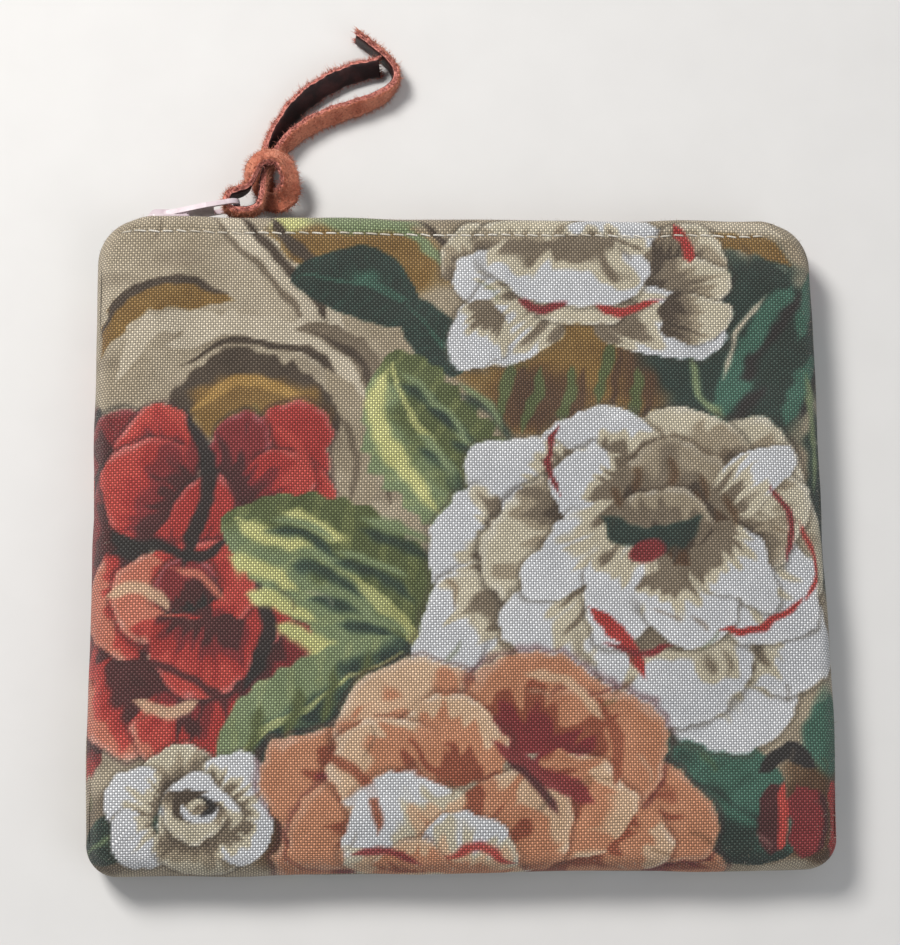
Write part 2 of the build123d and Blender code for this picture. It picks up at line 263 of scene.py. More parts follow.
# %% Turn a route into an even line
def smooth_route(name, route):
    """The points and leans of a NURBS curve with the route's points as its control points."""
    data = bpy.data.curves.new(name + "_route", "CURVE")
    data.dimensions = "3D"
    data.resolution_u = 24
    spline = data.splines.new("NURBS")
    spline.points.add(len(route) - 1)
    for point, (x, y, z, lean) in zip(spline.points, route):
        point.co = (x * MM, y * MM, z * MM, 1.0)
    spline.order_u = 3
    spline.use_endpoint_u = True
    guide = bpy.data.objects.new(name + "_route", data)
    bpy.context.scene.collection.objects.link(guide)
    bpy.context.view_layer.update()
    mesh = bpy.data.meshes.new_from_object(guide)
    points = np.array([tuple(v.co) for v in mesh.vertices]) / MM
    bpy.data.objects.remove(guide)
    bpy.data.meshes.remove(mesh)
    share = np.linspace(0, 1, len(points))
    leans = np.interp(share, np.linspace(0, 1, len(route)), [p[3] for p in route])
    return points, leans


def even(points, values, step):
    """The same line with points a step apart."""
    along = np.concatenate([[0], np.cumsum(np.linalg.norm(np.diff(points, axis=0), axis=1))])
    at = np.linspace(0, along[-1], int(along[-1] / step) + 1)
    line = np.stack([np.interp(at, along, points[:, i]) for i in range(3)], axis=1)
    return line, np.interp(at, along, values), at

# %% [markdown]
# Nothing soft is perfectly even. One smooth noise, made from seeded tables so that every run is the same,
# gives the leather its lumps, the cloth its waver and the brush marks their ragged edges.

# %% Noise that is the same on every run
def lattice(seed, size=64):
    return np.random.default_rng(seed).random((size, size)) * 2 - 1


LATTICES = [lattice(seed) for seed in range(12)]


def ripple(x, y, grain, seed=0):
    """Smooth noise from -1 to 1 whose waves are about a grain long."""
    table = LATTICES[seed % len(LATTICES)]
    size = len(table)
    u, v = x / grain + 17.3 * seed, y / grain + 9.1 * seed
    i, j = np.floor(u).astype(int), np.floor(v).astype(int)
    s, t = u - i, v - j
    s, t = s * s * (3 - 2 * s), t * t * (3 - 2 * t)
    i, j, i1, j1 = i % size, j % size, (i + 1) % size, (j + 1) % size
    low_row = table[j, i] * (1 - s) + table[j, i1] * s
    high_row = table[j1, i] * (1 - s) + table[j1, i1] * s
    return low_row * (1 - t) + high_row * t


def smooth(value, start, end):
    part = np.clip((value - start) / (end - start), 0, 1)
    return part * part * (3 - 2 * part)


# %% [markdown]
# Suede is leather with its inner side out. The lace has a fuzzy orange suede face, pinkish cut edges and a
# dark smooth face on the other side. A sweep gives the ribbon, and its faces take one of three materials by
# where they lie round the section. The nap is real geometry: short tapered hairs that stand on the suede.

# %% The ribbon's section and its directions
def section(width, thickness, corner=0.45, arc=4, between=4):
    """A rounded oblong, as points across the thickness and up the width."""
    corners = ((1, 1), (-1, 1), (-1, -1), (1, -1))

    def on_arc(number, degrees):
        sx, sy = corners[number % 4]
        turn = math.radians(degrees)
        across = sx * (thickness / 2 - corner) + corner * math.cos(turn)
        return np.array((across, sy * (width / 2 - corner) + corner * math.sin(turn)))

    points = []
    for k in range(4):
        points += [on_arc(k, 90 * k + 90 * i / (arc - 1)) for i in range(arc)]
        end, following = on_arc(k, 90 * (k + 1)), on_arc(k + 1, 90 * (k + 1))
        points += [end + (following - end) * (i / (between + 1)) for i in range(1, between + 1)]
    return np.array(points)


def frames(line, leans):
    """Along, across and up at each point of a line, with the width leaning by the given degrees."""
    along = np.gradient(line, axis=0)
    along /= np.linalg.norm(along, axis=1)[:, None]
    upright = np.array([0, 0, 1.0]) - along * along[:, 2:3]
    upright /= np.linalg.norm(upright, axis=1)[:, None]
    right_side = np.cross(along, upright)
    lean = np.radians(leans)[:, None]
    top = np.cos(lean) * upright + np.sin(lean) * right_side
    return along, np.cross(along, top), top


# %% Helpers that make meshes
def new_mesh(name, points, faces, smooth_faces=True):
    """A mesh object from points in millimetres."""
    mesh = bpy.data.meshes.new(name)
    corners = [tuple(p) for p in np.asarray(points) * MM]
    mesh.from_pydata(corners, [], [tuple(int(i) for i in f) for f in faces])
    mesh.update()
    if smooth_faces:
        mesh.polygons.foreach_set("use_smooth", [True] * len(mesh.polygons))
    piece = bpy.data.objects.new(name, mesh)
    bpy.context.scene.collection.objects.link(piece)
    return piece


def spike_faces(n):
    """The faces of a bent three-sided spike whose seven points start at number n."""
    return [
        (n, n + 1, n + 4, n + 3), (n + 1, n + 2, n + 5, n + 4), (n + 2, n, n + 3, n + 5),
        (n + 3, n + 4, n + 6), (n + 4, n + 5, n + 6), (n + 5, n + 3, n + 6), (n + 2, n + 1, n),
    ]


# %% The body of a strand, and its nap
SUEDE, GRAIN, CUT_EDGE = 0, 1, 2
SWEEP_STEP = 0.22
HAIRS_PER_MM = 210
HAIR_RADIUS = 0.055
LONGEST_HAIR = 1.0
LOWEST = 0.1  # no hair reaches below this height


def strand_body(line, leans, at, shape, suedeness, seed):
    """A ribbon along a line: its points, its faces, and the material number of each face."""
    along, across, top = frames(line, leans)
    count = len(shape)
    rows = []
    for i in range(len(line)):
        swell = 1 + 0.05 * math.sin(at[i] * 1.3 + seed) + 0.03 * math.sin(at[i] * 3.7)
        rough = 0.13 * ripple(np.arange(count) * 0.9, np.full(count, at[i] * 2.6), 1.0, seed)
        grow = 1 + (rough * (suedeness > -0.4))[:, None]
        rows.append(line[i] + (across[i] * shape[:, :1] + top[i] * shape[:, 1:] * swell) * grow)
    faces, numbers = [], []
    for i in range(len(line) - 1):
        for j in range(count):
            k = (j + 1) % count
            faces.append((i * count + j, i * count + k, (i + 1) * count + k, (i + 1) * count + j))
            middle = (suedeness[j] + suedeness[k]) / 2
            numbers.append(SUEDE if middle > 0.6 else GRAIN if middle < -0.6 else CUT_EDGE)
    faces.append(list(range(count))[::-1])
    faces.append([(len(line) - 1) * count + j for j in range(count)])
    numbers += [CUT_EDGE] * 2
    return list(np.vstack(rows)), faces, numbers, (along, across, top)


def strand_nap(points, faces, numbers, directions, shape, suedeness, length, dice):
    """Adds short bent hairs to the suede, to the cut edges and to the strand's bare end."""
    along, across, top = directions
    last, count = len(along) - 1, len(shape)
    for _ in range(int(length * HAIRS_PER_MM)):
        i = int(dice.integers(1, last))
        if dice.random() < 0.06:
            i = last
        j = int(dice.integers(count))
        if suedeness[j] < -0.5 or (suedeness[j] < 0.3 and dice.random() < 0.35):
            continue
        outward = across[i] * shape[j, 0] / LACE_THICKNESS * 1.6 + top[i] * shape[j, 1] / LACE_WIDTH * 1.6
        if i == last:
            outward = along[i]
        outward = outward / np.linalg.norm(outward) + dice.uniform(-0.6, 0.6, 3)
        sweep_way = along[i] * dice.uniform(-0.8, 0.9) + dice.uniform(-0.4, 0.4, 3)
        long = min(dice.gamma(4.0, 0.14), LONGEST_HAIR)
        root = np.array(points[i * count + j]) - 0.1 * outward
        side = np.cross(outward, along[i] + 0.3 * top[i])
        side *= HAIR_RADIUS / max(np.linalg.norm(side), 1e-6)
        other = np.cross(side, outward)
        other *= HAIR_RADIUS / max(np.linalg.norm(other), 1e-6)
        middle = root + outward * long * 0.6 + sweep_way * long * 0.15
        end = root + outward * long + sweep_way * long * 0.6
        middle[2], end[2] = max(middle[2], LOWEST), max(end[2], LOWEST)
        faces += spike_faces(len(points))
        points += [root - side, root + side, root + other]
        points += [middle - side * 0.7, middle + side * 0.7, middle + other * 0.7, end]
        numbers += [SUEDE if suedeness[j] > 0.3 else CUT_EDGE] * 7


def lace_strand(name, route, suede_side, seed):
    """One strand of the lace. suede_side is 1 when the suede is on the right of its run, else -1."""
    line, leans, at = even(*smooth_route(name, route), SWEEP_STEP)
    shape = section(LACE_WIDTH, LACE_THICKNESS)
    suedeness = np.clip(suede_side * shape[:, 0] / (LACE_THICKNESS / 2), -1, 1)
    points, faces, numbers, directions = strand_body(line, leans, at, shape, suedeness, seed)
    dice = np.random.default_rng(seed)
    strand_nap(points, faces, numbers, directions, shape, suedeness, at[-1], dice)
    piece = new_mesh(name, points, faces)
    dressed(piece, SUEDE_FINISH, GRAIN_FINISH, EDGE_FINISH)
    piece.data.polygons.foreach_set("material_index", numbers)
    print(name, "length", round(float(at[-1]), 1), "mm,", len(faces), "faces")
    return piece, [tuple(p * MM) for p in line], float(at[-1]) * MM


# %% [markdown]
# Leather colour comes from two scales at once: a slow drift where hands have rubbed it, and a fine grain. The
# suede is dry and rough, so it has no gloss at all. The smooth face is nearly black brown with a soft sheen
# that breaks up where the grain creases.

# %% Finishes of the leather
def suede_finish():
    finish = Finish("lace suede", Roughness=0.95, Sheen_Weight=0.35, Sheen_Tint=(1.0, 0.75, 0.6, 1.0))
    place = finish.place()
    drift = finish.noise(place, 300.0, 4.0)
    grain = finish.noise(place, 2600.0, 4.0, 0.65)
    colour = finish.mix(drift.step(0.35, 0.65), (0.47, 0.13, 0.07), (0.62, 0.22, 0.13))
    colour = finish.mix(grain.step(0.28, 0.50), (0.24, 0.05, 0.028), colour)
    colour = finish.mix(grain.step(0.60, 0.78), colour, (0.95, 0.60, 0.42))
    finish.set("Base Color", colour)
    finish.bump(grain + drift * 0.5, 0.00025, 0.9)
    return finish


def cut_edge_finish():
    finish = Finish("lace cut edge", Roughness=0.9)
    place = finish.place()
    grain = finish.noise(place, 2200.0, 5.0, 0.7)
    colour = finish.mix(grain.step(0.36, 0.52), (0.20, 0.045, 0.04), (0.66, 0.25, 0.20))
    colour = finish.mix(grain.step(0.60, 0.75), colour, (0.90, 0.56, 0.48))
    finish.set("Base Color", colour)
    finish.bump(grain, 0.0002, 0.9)
    return finish


def smooth_leather_finish():
    finish = Finish("lace smooth side", Roughness=0.5, Specular_IOR_Level=0.32)
    place = finish.place()
    drift = finish.noise(place, 350.0, 3.0)
    grain = finish.noise(place, 1900.0, 4.0, 0.6)
    colour = finish.mix(drift.step(0.35, 0.7), (0.012, 0.003, 0.003), (0.040, 0.010, 0.009))
    finish.set("Base Color", colour)
    finish.set("Roughness", 0.36 + grain * 0.3)
    finish.bump(grain, 0.00012, 0.6)
    return finish


SUEDE_FINISH, GRAIN_FINISH, EDGE_FINISH = suede_finish(), smooth_leather_finish(), cut_edge_finish()

# %% Make the two strands
for name, route, suede_side, seed, stands_for in (
    ("lace_wrapped_strand", WRAPPED_STRAND, -1, 5, ("lace_knot", "lace_upper_tail")),
    ("lace_straight_strand", STRAIGHT_STRAND, 1, 9, ("lace_loop", "lace_lower_tail")),
):
    strand, path, length = lace_strand(name, route, suede_side, seed)
    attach(strand, "lace")
    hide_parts(*stands_for)
    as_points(path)

# %% [markdown]
# The canvas is printed with large loose roses and leaves. A printed cloth is painted flat before it is sewn,
# so the print is painted here in the cloth's own millimetres, by laying petals, leaves and strokes over each
# other like a brush would. Each mark is a formula of a point's place, so it can be painted at any fineness.

# %% The printer's inks, as they look on the cloth
INK = {
    "beige": (0.70, 0.64, 0.54),
    "pale beige": (0.85, 0.80, 0.71),
    "taupe": (0.52, 0.46, 0.38),
    "umber": (0.30, 0.24, 0.18),
    "ochre": (0.56, 0.42, 0.18),
    "gold": (0.72, 0.56, 0.28),
    "brown": (0.36, 0.23, 0.11),
    "white": (0.90, 0.91, 0.93),
    "cream": (0.87, 0.83, 0.73),
    "red": (0.72, 0.17, 0.15),
    "bright red": (0.80, 0.26, 0.22),
    "crimson": (0.54, 0.10, 0.13),
    "maroon": (0.30, 0.05, 0.08),
    "coral": (0.86, 0.50, 0.40),
    "peach": (0.83, 0.56, 0.41),
    "pale peach": (0.91, 0.76, 0.62),
    "rust": (0.62, 0.30, 0.18),
    "pine": (0.08, 0.20, 0.17),
    "teal": (0.24, 0.44, 0.37),
    "sage": (0.54, 0.61, 0.44),
    "olive": (0.36, 0.41, 0.22),
    "lime": (0.87, 0.87, 0.58),
    "black": (0.09, 0.08, 0.09),
}
INK = {name: np.array(colour) for name, colour in INK.items()}


# %% [markdown]
# Four kinds of mark make the whole print. A blot is a soft oval. A stroke follows a few points with a brush
# that swells and thins. A leaf has a light half and a dark half either side of its rib. A rose is a pile of
# petals, each darker where it goes under its neighbour and lighter at its rim. All are drawn through slightly
# rippled space, so that no outline is ruled.

# %% Marks of the brush
class Print:
    """Printed cloth: the place of each point in millimetres, and its ink."""

    def __init__(self, x, y):
        self.flat_x, self.flat_y = x, y
        self.x = x + 0.9 * ripple(x, y, 7.0, 1) + 0.35 * ripple(x, y, 2.2, 2)
        self.y = y + 0.9 * ripple(x, y, 7.0, 3) + 0.35 * ripple(x, y, 2.2, 4)
        self.ink = np.tile(INK["beige"], (len(x), 1))

    def lay(self, mask, colour):
        """Covers the cloth with a colour, or with one colour per point, as far as the mask says."""
        self.ink += mask[:, None] * (colour - self.ink)

    def local(self, centre, angle):
        """Places in a frame at a centre, with the first axis at an angle in degrees."""
        turn = math.radians(angle)
        dx, dy = self.x - centre[0], self.y - centre[1]
        return dx * math.cos(turn) + dy * math.sin(turn), dy * math.cos(turn) - dx * math.sin(turn)

    def blot(self, centre, size, angle, ink, soft=0.25, strength=1.0):
        """A soft-edged oval of ink."""
        u, v = self.local(centre, angle)
        far = np.hypot(u / size[0], v / size[1]) + 0.12 * ripple(self.flat_x, self.flat_y, 3.0, 5)
        self.lay(strength * smooth(-far, -1.0, -1.0 + soft), INK[ink])

    def stroke(self, points, width, ink, soft=0.25, strength=1.0, ends=0.25):
        """A brush stroke through a few points, thin at both ends."""
        line = curve_through(points, 12)
        near, at = np.full(len(self.x), 1e9), np.zeros(len(self.x))
        reach = width * 2 + 2
        box = (self.x > line[:, 0].min() - reach) & (self.x < line[:, 0].max() + reach)
        box &= (self.y > line[:, 1].min() - reach) & (self.y < line[:, 1].max() + reach)
        px, py = self.x[box], self.y[box]
        best, where = np.full(len(px), 1e9), np.zeros(len(px))
        for i in range(len(line) - 1):
            a, d = line[i], line[i + 1] - line[i]
            t = np.clip(((px - a[0]) * d[0] + (py - a[1]) * d[1]) / max(d @ d, 1e-9), 0, 1)
            gap = np.hypot(px - a[0] - t * d[0], py - a[1] - t * d[1])
            closer = gap < best
            best = np.where(closer, gap, best)
            where = np.where(closer, (i + t) / (len(line) - 1), where)
        near[box], at[box] = best, where
        brush = 0.5 * width * smooth(np.minimum(at, 1 - at), -0.02, ends)
        brush *= 1 + 0.25 * ripple(self.flat_x, self.flat_y, 1.6, 6)
        self.lay(strength * smooth(brush - near, -soft, soft), INK[ink])

    def leaf(self, base, tip, width, light, dark, rib="lime", teeth=0.0, bend=0.0):
        """A leaf from base to tip, with a light and a dark half, a rib and side veins."""
        length = math.dist(base, tip)
        angle = math.degrees(math.atan2(tip[1] - base[1], tip[0] - base[0]))
        u, v = self.local(base, angle)
        s = u / length
        v = v - bend * length * (s - s * s) * 4
        half = 0.5 * width * np.sqrt(np.clip(s, 0, 1)) * np.clip(1 - s, 0, 1) ** 0.65 * 2.0
        half = half * (1 + teeth * (np.abs(((s * 9) % 1) - 0.5) - 0.25))
        inside = smooth(half - np.abs(v), -0.25, 0.3) * (s > 0) * (s < 1)
        vein = np.abs((((s * 7) - np.abs(v) / width * 2.2) % 1) - 0.5)
        streak = 0.5 + 0.5 * ripple(u * 0.4, v * 3, 1.5, 7)
        tone = smooth(v / width + 0.15 * ripple(self.flat_x, self.flat_y, 4, 8), -0.08, 0.16)
        colour = INK[dark] + tone[:, None] * (INK[light] - INK[dark])
        colour = colour + (0.28 * streak * (vein < 0.14))[:, None] * (INK[rib] - colour)
        self.lay(inside, colour)
        middle = smooth(0.05 * width * (1.15 - s) - np.abs(v), -0.15, 0.15) * (s > 0) * (s < 0.95)
        self.lay(0.7 * middle, INK[rib])

    def petal(self, centre, angle, width, depth, inks, seed):
        """One petal, its outer rim at the far side along its angle. inks run from its shadow to its rim."""
        u, v = self.local(centre, angle)
        wave = ripple(self.flat_x, self.flat_y, 5.0, seed)
        v = v / (0.5 * width)
        u = u / (0.5 * depth) + 0.35 * v * v
        far = np.hypot(u, v) + 0.10 * wave + 0.05 * ripple(self.flat_x, self.flat_y, 1.5, seed + 1)
        inside = smooth(-far, -1.0, -0.94)
        streaks = ripple(np.arctan2(v, u + 2.2) * 26 + seed, (u + 2.2) * 1.6, 1.3, seed + 2)
        shade = smooth(u + 0.45 * wave + 0.35 * streaks, -0.85, 0.75) * (len(inks) - 1)
        level = np.floor(shade)
        shade = level + smooth(shade - level, 0.25, 0.75)
        colour = np.zeros_like(self.ink)
        for i, name in enumerate(inks):
            colour += np.clip(1 - np.abs(shade - i), 0, 1)[:, None] * INK[name]
        self.lay(inside, colour)
        edge = smooth(far, 0.80, 0.90) * smooth(-far, -1.0, -0.96) * smooth(u, -0.2, 0.5)
        self.lay(0.55 * edge * (0.5 + 0.5 * streaks), INK[inks[-1]] * 0.4 + 0.6)
        under = smooth(far, 0.98, 1.02) * smooth(-far, -1.16, -1.0) * smooth(u, -0.3, 0.4)
        self.lay(0.45 * under, INK[inks[0]] * 0.6)

    def petals(self, seed, rows):
        """Petals from the hindmost to the foremost. Each row gives place, way, width, depth and inks."""
        for i, (place, way, width, depth, inks) in enumerate(rows):
            self.petal(place, way, width, depth, inks, seed + 3 * i)

    def whorl(self, centre, size, inks, seed):
        """The tight heart of a small rose, as a few curved strokes one inside another."""
        for k, ink in enumerate(inks):
            reach = size * (0.9 - 0.2 * k)
            turns = [a + 1.9 * k + seed for a in (0.0, 1.2, 2.4, 3.4)]
            ring = [(centre[0] + reach * math.cos(a), centre[1] + 0.8 * reach * math.sin(a)) for a in turns]
            self.stroke(ring, 0.30 * size, ink, 0.2)


def curve_through(points, steps):
    """A smooth line through a few points."""
    p = np.array([points[0], *points, points[-1]], float)
    t = np.linspace(0, 1, steps, endpoint=False)[:, None]
    pieces = []
    for a, b, c, d in zip(p, p[1:], p[2:], p[3:]):
        square, cube = 2 * a - 5 * b + 4 * c - d, 3 * b - a - 3 * c + d
        pieces.append(0.5 * (2 * b + (c - a) * t + square * t**2 + cube * t**3))
    return np.vstack([*pieces, p[-1:]])

# %% [markdown]
# The design is laid out as a printer's repeat is, from the back to the front: the ground and its scrolls, the
# red rose, the leaves, then the pale roses that overlap them. Two white roses fill the right side, a dark red
# one the left and a peach one the bottom, with a small white one in the lower corner.

# %% The background and its scrolls
def paint_background(cloth):
    x, y = cloth.flat_x, cloth.flat_y
    cloth.lay(smooth(ripple(x, y, 13, 9), -0.3, 0.6) * 0.6, INK["pale beige"])
    cloth.lay(smooth(ripple(x * 0.6, y * 1.8, 7, 11), 0.1, 0.7) * 0.35, INK["taupe"])
    cloth.blot((-18, 50), (20, 9), -8, "ochre", 0.4)
    cloth.blot((-30, 57), (5, 3), 0, "lime", 0.5)
    cloth.blot((-18, 57), (13, 2.6), 0, "sage", 0.5)
    cloth.blot((20, 28), (21, 15), 0, "ochre", 0.3)
    cloth.blot((14, 24), (12, 8), 0, "brown", 0.6)
    cloth.blot((34, 30), (10, 10), 0, "brown", 0.7)
    cloth.blot((50, 34), (19, 22), 0, "pine", 0.25)
    cloth.blot((66, 6), (6, 20), 0, "pine", 0.3)
    cloth.blot((-18, -22), (26, 16), 10, "olive", 0.5)
    cloth.blot((66, -50), (20, 12), 0, "brown", 0.3)
    cloth.blot((64, -36), (6, 9), 0, "teal", 0.3)
    cloth.blot((-28, -52), (16, 8), 0, "brown", 0.5)
    cloth.blot((-62, -52), (9, 10), 0, "taupe", 0.5)


def paint_scrolls(cloth):
    scrolls = [
        ([(-66, 32), (-60, 41), (-52, 44), (-40, 43)], 5.0, "ochre"),
        ([(-66, 35), (-60, 44), (-51, 46.5), (-41, 44)], 1.6, "umber"),
        ([(-62, 27), (-56, 37), (-47, 39), (-38, 37)], 3.6, "pale beige"),
        ([(-44, 60), (-34, 50), (-26, 40), (-20, 28)], 6.0, "pale beige"),
        ([(-40, 59), (-32, 50), (-26, 42), (-24, 38)], 1.8, "umber"),
        ([(-45, 59), (-37, 50), (-31, 42), (-29, 37)], 1.2, "taupe"),
        ([(-34, 58), (-29, 52), (-24, 48)], 2.2, "umber"),
        ([(-52, 34), (-40, 38), (-26, 34), (-16, 24)], 5.0, "pale beige"),
        ([(-50, 31), (-38, 35), (-26, 32), (-18, 22)], 1.3, "umber"),
        ([(-30, 37), (-20, 34), (-14, 24), (-12, 8)], 4.2, "taupe"),
        ([(-27, 36), (-18, 31), (-14, 20), (-13, 4)], 1.3, "umber"),
        ([(-24, 30), (-19, 20), (-18, 8), (-22, 0)], 6.0, "beige"),
        ([(-23, 22), (-18, 14), (-20, 4)], 1.2, "taupe"),
        ([(40, 53), (46, 55.5), (54, 54.5), (61, 50)], 3.6, "ochre"),
        ([(38, 56), (46, 57), (54, 57), (60, 55)], 2.0, "pale beige"),
        ([(-14, 57), (-6, 52), (0, 46), (3, 42)], 2.0, "sage"),
        ([(-8, 58), (-2, 52), (3, 47)], 1.4, "umber"),
    ]
    for points, width, ink in scrolls:
        cloth.stroke(points, width, ink)
    cloth.stroke([(-52, 18), (-45, 28), (-34, 30), (-22, 18)], 6.0, "umber", 0.4, 1.0, 0.1)
    cloth.blot((-36, 21), (13.5, 8.6), -8, "ochre", 0.2)
    cloth.stroke([(-48, 21), (-41, 27), (-33, 27), (-26, 20)], 2.2, "gold", 0.5)
    for x0, y0 in ((6, 26), (11, 24), (17, 25), (24, 29), (29, 24)):
        cloth.stroke([(x0, y0 - 6), (x0 + 2, y0), (x0 + 3, y0 + 6)], 1.9, "olive")
        cloth.stroke([(x0 + 3, y0 - 7), (x0 + 4, y0 - 1), (x0 + 5, y0 + 5)], 1.3, "brown")
    for x0, y0 in ((40, 42), (46, 30), (53, 40), (58, 28), (44, 22), (61, 44)):
        cloth.stroke([(x0, y0 - 8), (x0 + 3, y0), (x0 + 8, y0 + 6)], 3.4, "teal", 0.7)
        cloth.stroke([(x0 + 3, y0 - 7), (x0 + 6, y0), (x0 + 10, y0 + 5)], 1.6, "black", 0.8)
    cloth.stroke([(41, 33), (43, 26), (48, 21)], 1.4, "sage", 0.6)
    cloth.stroke([(56, 44), (50, 36), (47, 28)], 1.0, "pale beige", 0.6)
    cloth.stroke([(62, 30), (64, 20), (63, 8)], 2.0, "sage", 0.8)


# %% The leaves
def paint_leaves(cloth):
    cloth.leaf((-8, 41), (-30, 46), 15, "pine", "pine", "teal", bend=-0.12)
    cloth.blot((-17, 47), (5, 2.4), -20, "teal", 0.9)
    cloth.leaf((1, 29), (-11, 43), 11, "pine", "pine", "teal")
    cloth.leaf((8, 2), (-13, 33), 24, "sage", "olive", "lime", 0.35, 0.10)
    cloth.stroke([(-13, 30), (-15, 22), (-11, 12), (-4, 4)], 3.2, "lime", 0.9)
    for x0, y0 in ((-6, 24), (-1, 19), (3, 13), (-3, 12), (5, 22)):
        cloth.stroke([(x0 - 5, y0 + 3), (x0, y0), (x0 + 4, y0 - 6)], 2.0, "pine", 0.8, 0.75)
        cloth.stroke([(x0 - 5, y0 + 5), (x0 - 1, y0 + 2), (x0 + 2, y0 - 3)], 1.3, "sage", 0.6)
    cloth.leaf((-4, -24), (-42, 3), 27, "sage", "olive", "lime", 0.22, -0.08)
    for x0, y0 in ((-36, 0), (-38, -6), (-35, -12), (-30, -18), (-29, 2), (-24, -22)):
        cloth.stroke([(x0 - 3, y0 + 1), (x0 + 2, y0 - 1), (x0 + 9, y0 - 4)], 3.0, "lime", 0.8)
    for x0, y0 in ((-26, -2), (-22, -8), (-19, -14), (-14, -18), (-14, -8), (-10, -2)):
        cloth.stroke([(x0 - 8, y0 + 2), (x0 - 2, y0 + 1), (x0 + 5, y0 - 4)], 1.9, "pine", 0.9, 0.8)
        cloth.stroke([(x0 - 8, y0 + 4), (x0 - 2, y0 + 3), (x0 + 4, y0)], 1.4, "sage", 0.6)
    cloth.leaf((-42, -42), (-8, -20), 17, "sage", "pine", "lime", 0.2, 0.05)
    for x0, y0 in ((-36, -36), (-30, -32), (-24, -29), (-18, -26)):
        cloth.stroke([(x0 - 2, y0 - 5), (x0, y0), (x0 + 1, y0 + 5)], 1.8, "olive", 0.8)
    cloth.leaf((28, -38), (56, -57), 24, "teal", "pine", "pine", 0.0, 0.05)
    cloth.stroke([(34, -41), (42, -47), (50, -52)], 2.4, "teal", 0.9)
    cloth.leaf((-68, -57), (-50, -47), 8, "pine", "pine", "sage")
    cloth.blot((-22, -38), (9, 2), 10, "pine", 0.5)


# %% The petals' inks, and the white roses
PALE = ["taupe", "cream", "white", "white"]
SHADED = ["umber", "taupe", "beige", "cream"]
BOWL = ["brown", "umber", "taupe", "beige"]
DARK_RED = ["black", "maroon", "maroon", "crimson"]
RED = ["maroon", "crimson", "red", "red"]
WARM_RED = ["maroon", "crimson", "red", "bright red"]
CORAL = ["maroon", "red", "bright red", "coral"]
PEACH = ["rust", "peach", "peach", "pale peach"]
GLOW = ["crimson", "rust", "peach", "peach"]
CREAM = ["peach", "pale peach", "cream", "white"]


def paint_white_roses(cloth):
    cloth.petals(3, [
        ((2, 52), 120, 14, 10, SHADED), ((14, 55), 90, 22, 9, SHADED), ((30, 55), 80, 22, 9, PALE),
        ((43, 51), 40, 14, 12, SHADED), ((6, 46), 165, 14, 16, PALE), ((42, 46), 10, 12, 16, SHADED),
        ((8, 38), 215, 16, 22, PALE), ((3, 35), 235, 10, 14, PALE), ((36, 39), -18, 15, 26, PALE),
        ((43, 40), -5, 10, 14, SHADED), ((22, 42), -90, 20, 9, SHADED), ((21, 48), -88, 31, 14, PALE),
    ])
    cloth.petals(40, [
        ((52, 13), 50, 22, 16, SHADED), ((40, 17), 80, 24, 13, SHADED), ((24, 17), 105, 22, 12, PALE),
        ((59, -2), 5, 24, 14, SHADED), ((10, 9), 150, 18, 20, PALE), ((0, -3), 178, 22, 14, PALE),
        ((1, -18), 205, 22, 20, PALE), ((10, -27), 235, 18, 16, SHADED), ((26, -32), 262, 24, 14, PALE),
        ((47, -32), 290, 26, 14, PALE), ((58, -20), 330, 20, 16, PALE), ((14, -4), 190, 26, 24, SHADED),
        ((18, -16), 225, 24, 24, PALE), ((36, -24), 268, 30, 22, PALE), ((52, -10), 325, 22, 22, PALE),
        ((53, 4), 15, 20, 18, SHADED), ((38, 6), 90, 30, 22, BOWL), ((36, 0), 80, 20, 16, BOWL),
        ((22, 8), 165, 16, 14, PALE), ((52, 10), 40, 9, 20, PALE), ((20, -4), 215, 13, 26, PALE),
        ((28, -11), 250, 16, 20, PALE), ((40, -13), 282, 20, 15, PALE), ((49, -7), 315, 12, 18, PALE),
    ])
    cloth.stroke([(24, 3), (29, -1), (36, -1.5), (42, 2)], 4.6, "pine", 0.5)
    cloth.blot((32, -4), (3.6, 2.0), 8, "crimson", 0.3)
    for x0, y0, long in ((30, 12, 5), (36, 13, 5), (42, 11, 6), (47, 7, 6), (27, 8, 4)):
        cloth.stroke([(x0, y0), (x0 + 1, y0 - long / 2), (x0 + 1, y0 - long)], 1.2, "brown", 0.7, 0.8)
    cloth.petals(90, [
        ((-50, -41), 110, 14, 9, SHADED), ((-39, -43), 45, 13, 10, PALE), ((-57, -46), 160, 12, 10, PALE),
        ((-56, -53), 215, 12, 9, PALE), ((-46, -56), 265, 14, 9, SHADED), ((-38, -52), 320, 12, 9, PALE),
        ((-46, -47), 95, 13, 12, PALE), ((-47, -49), 250, 11, 9, SHADED),
    ])
    cloth.whorl((-46, -47), 4.2, ("umber", "white", "black", "cream"), 1)


